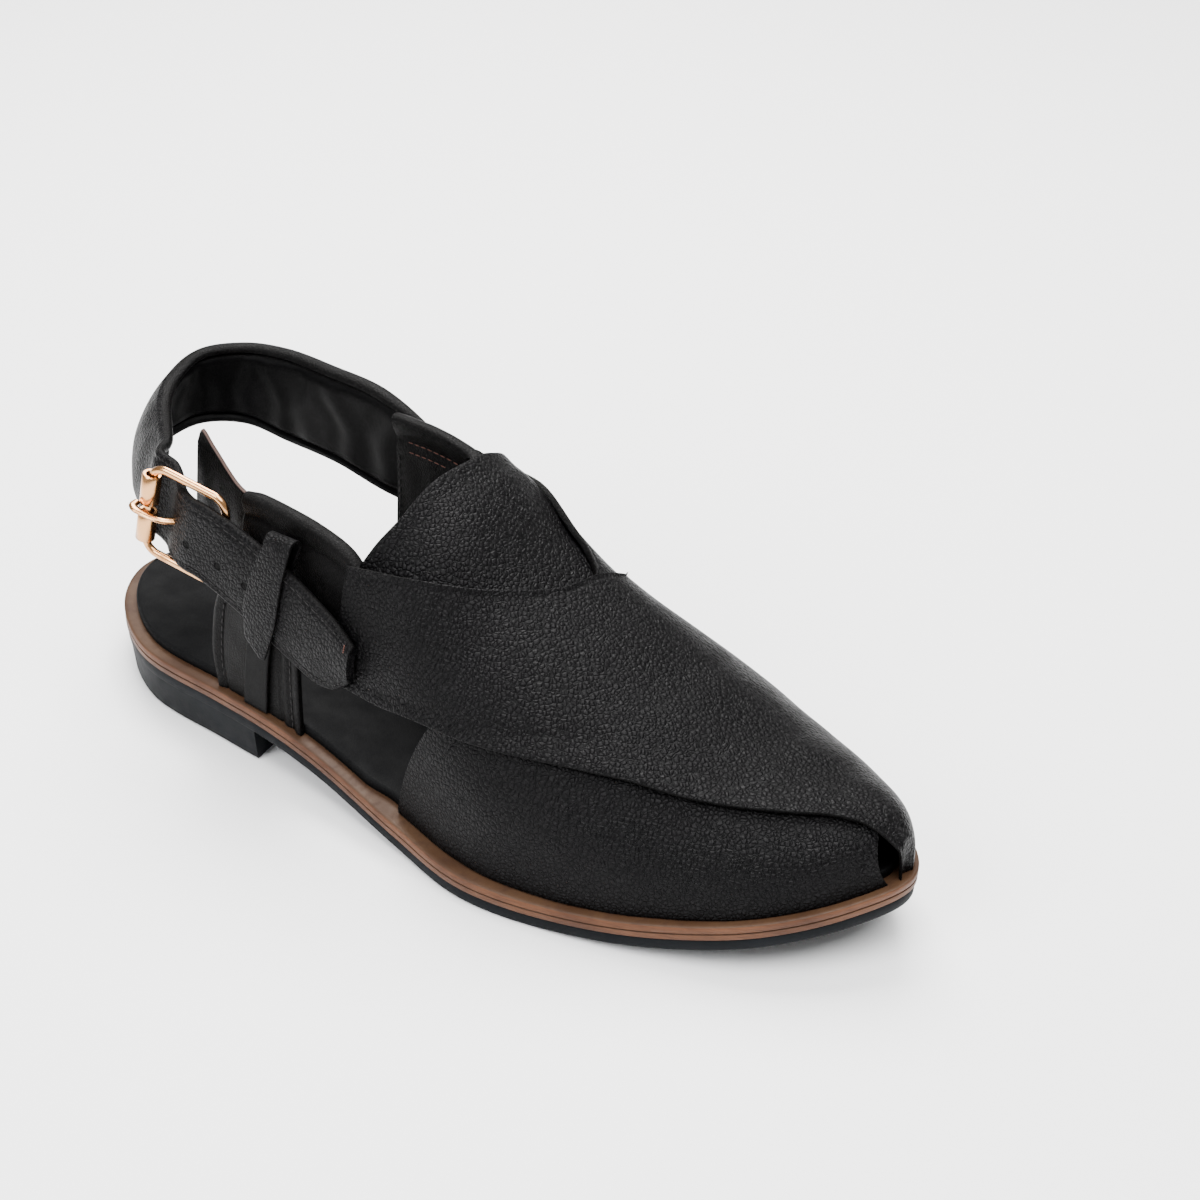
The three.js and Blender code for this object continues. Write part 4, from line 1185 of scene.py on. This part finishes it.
@dataclass
class Upper(SubAssembly):
    """Crossing bands and the tongue, with their sizes in millimetres."""

    under: Band = Band("under_band", UNDER_BAND, 0.3, 2.2, 0.3, UNDER_CREASES, False)
    top: Band = Band("top_band", TOP_BAND, 2.25, 3.5, 0.75, TOP_CREASES, True)
    cap_share: float = 0.06
    band_rim: float = 0.4
    tongue_rim: float = 0.5
    tongue_outer: float = -0.15
    tongue_inner: float = -2.1

    def build(self) -> None:
        """Make both bands and the tongue."""
        self.band(self.under)
        self.band(self.top)
        self.tongue()

    def band(self, shape: Band) -> None:
        """Make one band.

        Args:
            shape: its edges, layers and creases.
        """
        last, columns = self.last, shape.columns()

        def surface(s: float, t: float, layer: float, lively: bool) -> Vector:
            """Find a point of the band.

            Args:
                s: share along.
                t: share from the free edge to the held edge.
                layer: distance from the form.
                lively: whether creases and the lip show.

            Returns:
                The point.
            """
            free_at, free_turn, held_at, held_turn = (column(s) for column in columns)
            at, turn = free_at + (held_at - free_at) * t, free_turn + (held_turn - free_turn) * t
            layer += shape.lift * bell(t, 0.0, 0.06) * smooth_step(s, 0.06, 0.25)
            if lively:
                flat = last.shell(at, turn, layer)
                layer += sum(crease.lift(flat) for crease in shape.creases)
                layer += relief(FREE_EDGE, t)
                layer += relief(HELD_EDGE, t) * (1 - smooth_step(abs(held_turn), 0.55, 0.95))
            point = last.shell(at, turn, layer)
            if shape.capped:
                near = min(s / self.cap_share, 1.0)
                ledge = last.seat(point.x) + 0.1
                point.z = ledge + (point.z - ledge) * math.sqrt(1 - (1 - near) ** 2)
            return point

        piece = self.piece(shape.name, "leather", "upper", Finish.PEBBLED, Finish.LINING, Finish.SMOOTH)
        piece.sheet(170, 84, lambda s, t: surface(s, t, shape.outer, True),
                    lambda s, t: surface(s, t, shape.inner, False), self.band_rim)
        piece.place(70.0)

    def tongue(self) -> None:
        """Make the domed tongue."""
        rear, front = Column(TONGUE_ROWS, 0, 1), Column(TONGUE_ROWS, 0, 2)
        first, end = TONGUE_ROWS[0][0], TONGUE_ROWS[-1][0]

        def surface(s: float, t: float, layer: float) -> Vector:
            """Find a point of the tongue.

            Args:
                s: share across the instep.
                t: share from the rear edge forward.
                layer: distance from the form.

            Returns:
                The point.
            """
            turn = first + (end - first) * s
            layer += relief(TONGUE_EDGE, t) + relief(TONGUE_DOME, turn) * (1 - smooth_step(t, 0.3, 0.7))
            return self.last.shell(rear(turn) + (front(turn) - rear(turn)) * t, turn, layer)

        piece = self.piece("instep_tongue", "leather", "tongue", Finish.PEBBLED, Finish.LINING, Finish.SMOOTH)
        piece.sheet(90, 50, lambda s, t: surface(s, t, self.tongue_outer),
                    lambda s, t: surface(s, t, self.tongue_inner), self.tongue_rim)
        piece.place(70.0)


@dataclass
class Stitches:
    """Rows of stitches in one thread, with their sizes in millimetres."""

    piece: Piece
    pitch: float
    thick: float

    def row(self, path: Callable[[float], Vector], length: float) -> None:
        """Add one row.

        Args:
            path: path as a function of a share.
            length: its length in millimetres.
        """
        count = max(int(length / self.pitch), 2)
        for i in range(count):
            a, b = path((i + 0.14) / count), path((i + 0.86) / count)
            along = b - a
            turn = along.to_track_quat("Z", "Y").to_matrix().to_4x4()
            size = Matrix.Diagonal((self.thick / 2, self.thick / 2, along.length / 2 + 0.1, 1))
            bmesh.ops.create_uvsphere(self.piece.mesh, u_segments=7, v_segments=5, radius=1.0,
                                      matrix=Matrix.Translation((a + b) / 2) @ turn @ size)

    def place(self) -> None:
        """Put the rows in the scene."""
        self.piece.place(80.0)


@dataclass(frozen=True)
class Panel:
    """One side panel: its edges, its layers outside the form, its rounding and the rolls of its top edge."""

    name: str
    node: str
    rows: Rows
    side: Side
    inner: float
    outer: float
    rim: float
    rolls: tuple[float, float] = (0.0, 0.0)
    back: Finish = Finish.LINING
    edge: Finish = Finish.SMOOTH


@dataclass
class Quarter(SubAssembly):
    """Collars, tabs, guard and keeper, with their sizes in millimetres."""

    outside_collar: Panel = Panel("outside_collar", "lateral_collar", LATERAL_COLLAR, Side.LATERAL, -2.2, 0.8, 1.1,
                                  (0.9, 0.4))
    inside_collar: Panel = Panel("inside_collar", "medial_collar", MEDIAL_COLLAR, Side.MEDIAL, -3.0, 0.0, 1.1,
                                 (0.2, 1.1), Finish.SMOOTH)
    guard: Panel = Panel("buckle_guard", "guard", GUARD_ROWS, Side.LATERAL, -4.1, -2.6, 0.35, edge=Finish.RAW)
    outside_tab: Panel = Panel("outside_tab", "lateral_leg", LATERAL_LEG, Side.LATERAL, 1.1, 2.6, 0.35)
    inside_tab: Panel = Panel("inside_tab", "medial_leg", MEDIAL_LEG, Side.MEDIAL, 0.3, 1.8, 0.35)
    softness: float = 0.15
    tab_top: float = 0.66
    keeper_in: float = 3.0
    keeper_wall: float = 1.0
    loop_in: float = 7.9
    # red rows on the inside collar: distance under its edge and length, as shares; and where they start
    red_rows: Rows = ((0.090, 0.075), (0.130, 0.050))
    red_from: float = 0.345
    # dark row beside the strap's join: place along, foot and length
    join_row: Place = (96.0, 52.0, 33.0)

    def build(self) -> None:
        """Make every side piece."""
        for panel in (self.outside_collar, self.inside_collar, self.guard):
            self.long_panel(panel)
        for panel in (self.outside_tab, self.inside_tab):
            self.tall_panel(panel)
        self.keeper()
        self.threads()

    def long_panel(self, panel: Panel) -> None:
        """Make a panel that runs along the shoe.

        Args:
            panel: its share, low edge, high edge and inward column, its layers and its rolls.
        """
        low, high, inward = (Column(panel.rows, 0, i) for i in (1, 2, 3))
        first, end = panel.rows[0][0], panel.rows[-1][0]

        def surface(s: float, t: float, layer: float, roll: float) -> Vector:
            """Find a point of the panel.

            Args:
                s: share along.
                t: share up.
                layer: distance from the form.
                roll: height of the rolled edge, below 0 on the inner face.

            Returns:
                The point.
            """
            at = first + (end - first) * s
            height = (low(at) + (high(at) - low(at)) * t) * self.last.collar
            soft = self.softness * math.sin(at * 190.0 + t * 4.0) * bell(t, 0.45, 0.35)
            layer += roll * relief(ROLLED_EDGE, t) + soft - inward(at)
            return self.last.wall(at * self.last.sole_length, height, panel.side, layer)

        piece = self.piece(panel.name, "leather", panel.node, Finish.SMOOTH, panel.back, panel.edge)
        piece.sheet(64, 40, lambda s, t: surface(s, t, panel.outer, panel.rolls[0]),
                    lambda s, t: surface(s, t, panel.inner, -panel.rolls[1]), panel.rim)
        piece.place(70.0)

    def tall_panel(self, panel: Panel) -> None:
        """Make a tab that stands up from the sole.

        Args:
            panel: its rise, rear edge, front edge and outward column, and its layers.
        """
        rear, front, out = (Column(panel.rows, 0, i) for i in (1, 2, 3))

        def surface(s: float, t: float, layer: float, lively: float) -> Vector:
            """Find a point of the tab.

            Args:
                s: share up.
                t: share forward.
                layer: distance from the form.
                lively: 1 on the outer face.

            Returns:
                The point.
            """
            x = (rear(s) + (front(s) - rear(s)) * t) * self.last.sole_length
            foot = self.last.seat(x) + 0.15
            height = foot + (self.tab_top * self.last.collar - foot) * s
            return self.last.wall(x, height, panel.side, layer + out(s) + lively * relief(TAB_SEAMS, t))

        piece = self.piece(panel.name, "leather", panel.node, Finish.SMOOTH, panel.back, panel.edge)
        piece.sheet(40, 70, lambda s, t: surface(s, t, panel.outer, 1.0),
                    lambda s, t: surface(s, t, panel.inner, 0.0), panel.rim)
        piece.place(70.0)

    def keeper(self) -> None:
        """Make the narrow strip that rises behind the strap's end and folds over it."""
        back = Column(KEEPER_ROWS, 0, 1), Column(KEEPER_ROWS, 0, 2)
        face = Column(KEEPER_FACE, 0, 1), Column(KEEPER_FACE, 0, 2)
        tab_out = Column(LATERAL_LEG, 0, 3)
        top, end = KEEPER_ROWS[-1][0], KEEPER_FACE[0][0]
        last, wall = self.last, self.keeper_wall
        middle = (self.keeper_in + self.loop_in + wall) / 2
        foot = (last.seat(KEEPER_ROWS[0][1] * last.sole_length) + 0.2) / last.collar
        fold, over = 0.46, 0.58

        def surface(s: float, t: float, outer: float) -> Vector:
            """Find a point of the strip.

            Args:
                s: share along, up and over.
                t: share across.
                outer: 0 towards the strap, 1 away from it.

            Returns:
                The point.
            """
            lift, edge = 0.0, back
            if s < fold:
                rise = foot + (top - foot) * (s / fold)
                layer = self.keeper_in + wall * (1 - outer) + tab_out((rise - foot) / (self.tab_top - foot))
            elif s < over:
                angle = math.pi * (s - fold) / (over - fold)
                radius = (self.loop_in + wall - self.keeper_in) / 2 - wall * (1 - outer)
                rise = top
                layer = middle - math.cos(angle) * radius
                lift = math.sin(angle) * radius
            else:
                rise = top + (end - top) * ((s - over) / (1 - over))
                edge = face
                layer = self.loop_in + wall * outer + 0.25 * math.sin(math.pi * t) * outer
            x = (edge[0](rise) + (edge[1](rise) - edge[0](rise)) * t) * last.sole_length
            point = last.wall(x, rise * last.collar, Side.LATERAL, layer)
            point.z += lift
            return point

        piece = self.piece("keeper_strip", "leather", "keeper", Finish.PEBBLED, Finish.LINING, Finish.SMOOTH)
        piece.sheet(110, 12, lambda s, t: surface(s, t, 1.0), lambda s, t: surface(s, t, 0.0), 0.25)
        piece.place(60.0)

    def threads(self) -> None:
        """Sew the inside collar in red and the tab in dark thread."""
        last = self.last
        high = Column(MEDIAL_COLLAR, 0, 2)
        rear, front, out = (Column(LATERAL_LEG, 0, i) for i in (1, 2, 3))

        def collar_path(t: float, drop: float, reach: float) -> Vector:
            """Follow the inside collar's top edge.

            Args:
                t: share along.
                drop: distance under the edge as a share of the collar.
                reach: length of the row as a share of the sole.

            Returns:
                The point.
            """
            at = self.red_from + reach * t
            return last.wall(at * last.sole_length, (high(at) - drop) * last.collar, Side.MEDIAL, -3.15)

        def tab_path(t: float, share: float) -> Vector:
            """Follow the outside tab's edge.

            Args:
                t: share up.
                share: place across the tab.

            Returns:
                The point.
            """
            rise = 0.05 + 0.9 * t
            x = (rear(rise) + (front(rise) - rear(rise)) * share) * last.sole_length
            height = 19 + (self.tab_top * last.collar - 20) * t
            return last.wall(x, height, Side.LATERAL, self.outside_tab.outer - 0.05 + out(rise))

        red = Stitches(self.piece("red_stitches", "leather", "", Finish.RED), 2.2, 0.34)
        for drop, reach in self.red_rows:
            red.row(lambda t, d=drop, r=reach: collar_path(t, d, r), reach * last.sole_length)
        red.place()
        dark = Stitches(self.piece("dark_stitches", "leather", "", Finish.DARK), 2.6, 0.42)
        for share in (0.10, 0.90):
            dark.row(lambda t, q=share: tab_path(t, q), 38)
        x, foot, rise = self.join_row
        dark.row(lambda t: last.wall(x, foot + rise * t, Side.MEDIAL, -3.2), rise)
        dark.place()


@dataclass(frozen=True)
class BucklePlane:
    """Place of the buckle: middle of its rear bar, and the directions up and ahead, in millimetres."""

    middle: Place = (49.5, -39.5, 78.5)
    up: Place = (6.0, 1.5, 28.0)
    ahead: Place = (33.0, 5.0, -7.3)

    def matrix(self) -> Matrix:
        """Work out the buckle's own axes.

        Returns:
            Matrix from the buckle's plane to the shoe.
        """
        up = Vector(self.up).normalized()
        ahead = Vector(self.ahead)
        ahead = (ahead - up * ahead.dot(up)).normalized()
        matrix = Matrix((ahead, up, ahead.cross(up))).transposed().to_4x4()
        matrix.translation = Vector(self.middle)
        return matrix


@dataclass
class Buckle(SubAssembly):
    """Frame, rollers and prong, drawn in the buckle's own plane, in millimetres."""

    plane: BucklePlane = BucklePlane()
    length: float = 28.0
    height: float = 33.0
    bar: float = 2.4
    corner: float = 5.2
    roller: float = 3.0
    bore: float = 1.95
    roller_gap: float = 1.5
    roller_end: float = 4.6
    roller_round: float = 0.35
    prong_half: float = 1.4
    prong_thick: float = 1.6

    def build(self) -> None:
        """Make the buckle's pieces."""
        self.frame()
        end = self.height / 2 - self.roller_end
        self.spun_roller("gold_roller_high", "roller_upper", self.roller_gap, end)
        self.spun_roller("gold_roller_low", "roller_lower", -end, -self.roller_gap)
        self.prong()

    def bar_rings(self, path: Sequence[Vector], wide: Sequence[float], flat: float, closed: bool) -> list[list[Vector]]:
        """Draw an oval bar's rings along a flat path.

        Args:
            path: points in the buckle's plane.
            wide: half width at each point.
            flat: half thickness out of the plane.
            closed: whether the path comes home.

        Returns:
            The rings.
        """
        count, sides = len(path), 12
        rings = []
        for i, point in enumerate(path):
            before = path[i - 1] if closed or i > 0 else path[0]
            after = path[(i + 1) % count] if closed or i < count - 1 else path[-1]
            along = (after - before).normalized()
            axis = Vector((0, 1, 0)) if abs(along.y) < 0.5 and abs(along.z) > 0.001 else Vector((0, 0, 1))
            across = axis.cross(along).normalized()
            other = along.cross(across)
            turns = [2 * math.pi * k / sides for k in range(sides)]
            rings.append([point + across * (wide[i] * math.cos(a)) + other * (flat * math.sin(a)) for a in turns])
        return [*rings, rings[0]] if closed else rings

    def frame(self) -> None:
        """Make the frame with its round corners."""
        corner, tall = self.corner, (self.height - self.bar) / 2
        right = self.length - self.bar / 2
        centres = ((right - corner, corner - tall, -90), (right - corner, tall - corner, 0),
                   (corner, tall - corner, 90), (corner, corner - tall, 180))
        turns = [(x, y, math.radians(start + 9 * k)) for x, y, start in centres for k in range(11)]
        path = [Vector((x + corner * math.cos(a), y + corner * math.sin(a), 0)) for x, y, a in turns]
        dense = []
        for a, b in zip(path, path[1:] + path[:1]):
            steps = max(int((b - a).length / 2.0), 1)
            dense += [a.lerp(b, k / steps) for k in range(steps)]
        piece = self.piece("gold_frame", "gold", "buckle_frame", Finish.GOLD)
        piece.skin(self.bar_rings(dense, [self.bar / 2 + 0.15] * len(dense), self.bar / 2, True), fill=False)
        self.finish(piece)

    def spun_roller(self, name: str, node: str, low: float, high: float) -> None:
        """Spin a roller round the rear bar.

        Args:
            name: name of the piece.
            node: node that it stands for.
            low: its lower end.
            high: its upper end.
        """
        piece = self.piece(name, "gold", node, Finish.GOLD)
        bm, radius, soft = piece.mesh, self.roller, self.roller_round
        outline = [(self.bore, low), (radius - soft, low), (radius, low + soft), (radius, high - soft),
                   (radius - soft, high), (self.bore, high)]
        verts = [bm.verts.new((r, y, 0)) for r, y in outline]
        edges = [bm.edges.new(pair) for pair in zip(verts, verts[1:] + verts[:1])]
        bmesh.ops.spin(bm, geom=verts + edges, cent=(0, 0, 0), axis=(0, 1, 0), angle=2 * math.pi, steps=36,
                       use_merge=True)
        piece.merge()
        self.finish(piece)

    def prong(self) -> None:
        """Make the prong, curled round the bar and bent down through the strap."""
        over, under, steps = self.roller + 1.05, -self.bar / 2 - 1.05, 48
        bends = ((-3.9, over - 3.4), (-3.7, over - 1.4), (-2.2, over - 0.1), (0.5, over), (6.6, over - 0.8),
                 (10.5, over - 3.8), (14.4, under), (self.length, under))
        curve = Spline([Vector((x, 0, z)) for x, z in bends])
        shares = [k / steps for k in range(steps + 1)]
        wide = [self.prong_half - 0.25 * (1 - smooth_step(share, 0.0, 0.2)) for share in shares]
        piece = self.piece("gold_prong", "gold", "prong", Finish.GOLD)
        piece.skin(self.bar_rings([curve.at(share) for share in shares], wide, self.prong_thick / 2, False))
        self.finish(piece)

    def finish(self, piece: Piece) -> None:
        """Move a piece from the buckle's plane to the shoe.

        Args:
            piece: piece to place.
        """
        bmesh.ops.transform(piece.mesh, matrix=self.plane.matrix(), verts=piece.mesh.verts[:])
        piece.place(45.0)


@dataclass
class StrapLine:
    """Both edges of the strap from the inside quarter round the heel to its tip, in millimetres."""

    last: Last
    plane: BucklePlane
    billet_width: float = 26.0
    billet: float = 3.0
    billet_mid: float = 5.8
    padding: float = 4.6
    step: float = 0.002

    def __post_init__(self) -> None:
        """Work out the strap's edges."""
        half, buckle = self.billet_width / 2, self.plane.matrix()
        rows = [(Vector(r[0:3]), Vector(r[3:6]), r[6], r[7] * self.padding, 1.0) for r in STRAP_ROWS]
        rows += [(buckle @ Vector((x, -half, out)), buckle @ Vector((x, half, out - lean)), 0.0, self.billet, 0.0)
                 for x, out, lean in PASS_ROWS]
        rows += [(self.end_point(at, low), self.end_point(at, high), 0.8, self.billet, 0.0)
                 for at, low, high in BILLET_ROWS]
        self.low = Spline([row[0] for row in rows])
        self.high = Spline([row[1] for row in rows])
        table = [(i / (len(rows) - 1), row[2], row[3], row[4]) for i, row in enumerate(rows)]
        self.bulge, self.thick, self.pad = (Column(table, 0, i) for i in (1, 2, 3))
        self.buckle_share = len(STRAP_ROWS) / (len(rows) - 1)

    def end_point(self, at: float, rise: float) -> Vector:
        """Find a point of the strap's end, from shares of the sole's length and of the collar's height."""
        last = self.last
        return last.wall(at * last.sole_length, rise * last.collar, Side.LATERAL, self.billet_mid)

    def frame(self, share: float) -> tuple[Vector, Vector, Vector, float]:
        """Find the strap's axes.

        Args:
            share: place along the strap.

        Returns:
            Middle, up, outward and height.
        """
        low, high = self.low.at(share), self.high.at(share)
        ahead, behind = min(share + self.step, 1.0), max(share - self.step, 0.0)
        along = (self.low.at(ahead) - self.low.at(behind)).normalized()
        along = (along + (self.high.at(ahead) - self.high.at(behind)).normalized()).normalized()
        up = high - low
        height = up.length
        up.normalize()
        return (low + high) / 2, up, along.cross(up).normalized(), height

    def point(self, share: float, rise: float, out: float) -> Vector:
        """Find a point of the strap.

        Args:
            share: place along the strap.
            rise: -1 at the low edge, 1 at the high edge.
            out: distance out of its middle, in millimetres.

        Returns:
            The point.
        """
        middle, up, outward, height = self.frame(share)
        hump = self.bulge(share) * (1 - rise * rise)
        return middle + up * (rise * height / 2) + outward * (out + hump)

    def find(self, x: float, z: float) -> Vector:
        """Find the outer face of the strap's end at a place.

        Args:
            x: place along the shoe.
            z: height above the floor.

        Returns:
            The nearest point of the face.
        """
        spots = [self.point(self.buckle_share + (1 - self.buckle_share) * i / 120, r / 10, self.billet / 2)
                 for i in range(121) for r in range(-8, 9)]
        return min(spots, key=lambda p: (p.x - x) ** 2 + (p.z - z) ** 2)


@dataclass(frozen=True)
class Wrinkle:
    """Soft wrinkle of the strap's lining: place and width as shares of the strap, slant, and depth in millimetres."""

    place: float
    slant: float
    width: float
    depth: float

    def fold(self, share: float, rise: float) -> float:
        """Measure the wrinkle.

        Args:
            share: place along the strap.
            rise: -1 at the low edge, 1 at the high edge.

        Returns:
            Fold in millimetres.
        """
        at = self.place + self.slant * 0.02 * rise + 0.004 * math.sin(rise * 5 + self.place * 90)
        ridge, trough = bell(share, at, self.width), bell(share, at + self.width * 1.3, self.width * 0.8)
        return 0.6 * self.depth * (ridge - 0.8 * trough)


WRINKLES = (
    Wrinkle(0.045, 0.3, 0.010, 0.5), Wrinkle(0.085, -0.5, 0.012, 0.9), Wrinkle(0.13, 0.6, 0.010, 0.8),
    Wrinkle(0.165, -0.4, 0.012, 1.0), Wrinkle(0.20, 0.5, 0.010, 0.9), Wrinkle(0.235, -0.3, 0.009, 0.8),
    Wrinkle(0.27, 0.5, 0.010, 0.9), Wrinkle(0.31, -0.5, 0.010, 0.7), Wrinkle(0.36, 0.3, 0.010, 0.5),
)


@dataclass
class BackStrap(SubAssembly):
    """Padded strap round the heel and its punched end, with its sizes in millimetres."""

    line: StrapLine
    edge: float = 1.3
    groove: float = 3.0
    plump: float = 1.1
    seam: float = 0.4
    steps: int = 420
    face_cells: int = 30
    lining_cells: int = 16

    def build(self) -> None:
        """Make the strap and its stitches."""
        piece = self.piece("heel_strap", "leather", "back_strap", Finish.PUNCHED, Finish.LINING, Finish.SMOOTH)
        sections = [self.section(i / self.steps) for i in range(self.steps + 1)]
        around = len(sections[0])

        def paint(s: float, t: float) -> int:
            """Choose the material of a cell.

            Args:
                s: share along the strap.
                t: share round its section.

            Returns:
                Material number.
            """
            row = int(s * self.steps)
            kind = sections[row][int(t * around)][2]
            return kind if row / self.steps < self.line.buckle_share else 2 * min(kind, 1)

        piece.skin([[self.line.point(i / self.steps, rise, out) for rise, out, _ in section]
                    for i, section in enumerate(sections)], paint)
        piece.place(60.0)
        self.threads()

    def section(self, share: float) -> list[tuple[float, float, int]]:
        """Draw the strap's cross section.

        Args:
            share: place along the strap.

        Returns:
            Rise, out and material number of each point.
        """
        half, pad = self.line.thick(share) / 2, self.line.pad(share)
        height = self.line.frame(share)[3]
        edge, groove = self.edge / height * 2, self.groove / height * 2
        points = []
        for k in range(self.face_cells + 1):
            rise = (1 - edge) * (2 * k / self.face_cells - 1)
            seam = self.seam * (1 - pad) * bell(abs(rise), 0.80, 0.045)
            points.append((rise, half - 0.12 * pad * abs(rise) ** 6 - seam, 0))
        points += [(1 - edge * 0.25, half * 0.66, 2), (1.0, 0.0, 2), (1 - edge * 0.25, -half * 0.66, 2)]
        inner = [(1 - edge * 0.9, 0.15), (1 - groove * 0.75, 0.25), (1 - groove, -1.3), (1 - groove * 1.25, 0.1)]
        points += [(rise, -(half + pad * extra), 2 if rise > 1 - groove * 1.1 else 1) for rise, extra in inner]
        for k in range(1, self.lining_cells):
            rise = (1 - groove * 1.25) * (1 - 2 * k / self.lining_cells)
            fold = sum(wrinkle.fold(share, rise) for wrinkle in WRINKLES) * (1 - rise ** 4)
            points.append((rise, -(half + pad * (self.plump * (1 - rise * rise) ** 0.5 + fold)), 1))
        points += [(-rise, -(half + pad * extra), 1) for rise, extra in reversed(inner)]
        points += [(-1 + edge * 0.25, -half * 0.66, 2), (-1.0, 0.0, 2), (-1 + edge * 0.25, half * 0.66, 0)]
        return points

    def threads(self) -> None:
        """Sew the strap's end, dark along its edges and red at its tip."""
        line, end = self.line, 0.985
        start, face = line.buckle_share + 0.2, line.billet / 2
        dark = Stitches(self.piece("strap_stitches", "leather", "", Finish.DARK), 2.4, 0.36)
        for rise in (-0.80, 0.80):
            dark.row(lambda t, r=rise: line.point(start + (end - start) * t, r, face - 0.22), 66)
        dark.place()
        red = Stitches(self.piece("tip_stitches", "leather", "", Finish.RED), 1.6, 0.45)
        red.row(lambda t: line.point(end, 0.52 + 0.36 * t, face + 0.05), 7)
        red.place()


@dataclass(frozen=True)
class Lamp:
    """Soft lamp that looks at the shoe, in metres and watts."""

    name: str
    place: Place
    size: float
    power: float
    color: tuple[float, float, float]

    def hang(self) -> None:
        """Put the lamp in the scene."""
        data = bpy.data.lights.new(self.name, "AREA")
        data.shape = "SQUARE"
        data.size = self.size
        data.energy = self.power
        data.color = self.color
        made = bpy.data.objects.new(self.name, data)
        made.location = self.place
        made.rotation_euler = (Vector((0, 0, 0.04)) - Vector(self.place)).to_track_quat("-Z", "Y").to_euler()
        bpy.context.scene.collection.objects.link(made)


LAMPS = (
    Lamp("key", (-0.45, 0.55, 1.2), 0.9, 54.0, (1.0, 0.99, 0.98)),
    Lamp("side", (-0.3, -1.1, 1.0), 0.8, 24.0, (0.97, 0.98, 1.0)),
    Lamp("over", (0.5, -0.2, 1.5), 1.2, 52.0, (1.0, 1.0, 1.0)),
)


@dataclass
class Studio:
    """Floor, light and camera; the camera is given by its angles, its distance and what it looks at."""

    shift: Vector
    azimuth: float = 37.8
    elevation: float = 36.5
    distance: float = 640.0
    target: Place = (145.0, 0.0, 10.0)
    # pixels of the photograph's frame: a millimetre at the target, and the target's place
    scale: float = 3.222
    spot: tuple[float, float] = (479.5, 742.9)
    sensor: float = 36.0
    floor_size: float = 6.0
    world_light: float = 0.4

    def build(self) -> None:
        """Make the whole studio."""
        self.camera()
        self.floor()
        world = bpy.context.scene.world or bpy.data.worlds.new("world")
        bpy.context.scene.world = world
        world.use_nodes = True
        sky = world.node_tree.nodes["Background"].inputs
        sky["Color"].default_value = (1.0, 1.0, 1.0, 1)
        sky["Strength"].default_value = self.world_light
        for lamp in LAMPS:
            lamp.hang()

    def camera(self) -> None:
        """Place the camera at the photograph's view."""
        azimuth, elevation = math.radians(self.azimuth), math.radians(self.elevation)
        back = Vector((math.sin(azimuth) * math.cos(elevation), -math.cos(azimuth) * math.cos(elevation),
                       math.sin(elevation)))
        right = Vector((math.cos(azimuth), math.sin(azimuth), 0))
        matrix = Matrix((right, back.cross(right), back)).transposed().to_4x4()
        matrix.translation = (Vector(self.target) + back * self.distance + self.shift) * MM
        data = bpy.data.cameras.new("camera")
        data.sensor_width = self.sensor
        data.sensor_fit = "HORIZONTAL"
        data.lens = self.scale * self.distance / FRAME * self.sensor
        data.shift_x = (FRAME / 2 - self.spot[0]) / FRAME
        data.shift_y = (self.spot[1] - FRAME / 2) / FRAME
        data.clip_start = 0.01
        made = bpy.data.objects.new("camera", data)
        made.matrix_world = matrix
        bpy.context.scene.collection.objects.link(made)
        bpy.context.scene.camera = made

    def floor(self) -> None:
        """Lay the pale floor."""
        bm = bmesh.new()
        bmesh.ops.create_grid(bm, x_segments=1, y_segments=1, size=self.floor_size)
        data = bpy.data.meshes.new("floor")
        bm.to_mesh(data)
        bm.free()
        floor = bpy.data.objects.new("floor", data)
        floor.location = (0, 0, -0.0002)
        bpy.context.scene.collection.objects.link(floor)
        data.materials.append(Ground().material("pale_floor"))


class Shoe:
    """The whole sandal."""

    def __init__(self) -> None:
        """Find the shared frame and make the materials."""
        self.last = Last()
        edge = min(self.last.edge(i / 2000, 0.0).y for i in range(2000))
        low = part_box("midsole")[0]
        self.shift = Vector((-self.last.sole_length / 2, low[1] / MM - edge, 0.0))
        self.plane = BucklePlane()
        self.line = StrapLine(self.last, self.plane)
        holes = [(self.line.find(x, z) + self.shift) * MM for x, z in HOLES]
        self.materials = {finish: look.material(finish.value) for finish, look in LOOKS.items()}
        self.materials[Finish.PUNCHED] = PEBBLED.material(Finish.PUNCHED.value, holes)

    def build(self) -> None:
        """Make every piece."""
        kit = (self.last, self.materials, self.shift)
        for part in (Sole(*kit), Upper(*kit), Quarter(*kit), Buckle(*kit, self.plane), BackStrap(*kit, self.line)):
            part.build()
            LOG.info("%s is done", type(part).__name__)


def main() -> None:
    """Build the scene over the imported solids."""
    logging.basicConfig(level=logging.INFO, format="%(name)s: %(message)s")
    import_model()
    shoe = Shoe()
    Studio(shoe.shift).build()
    shoe.build()


if __name__ == "__main__":
    main()
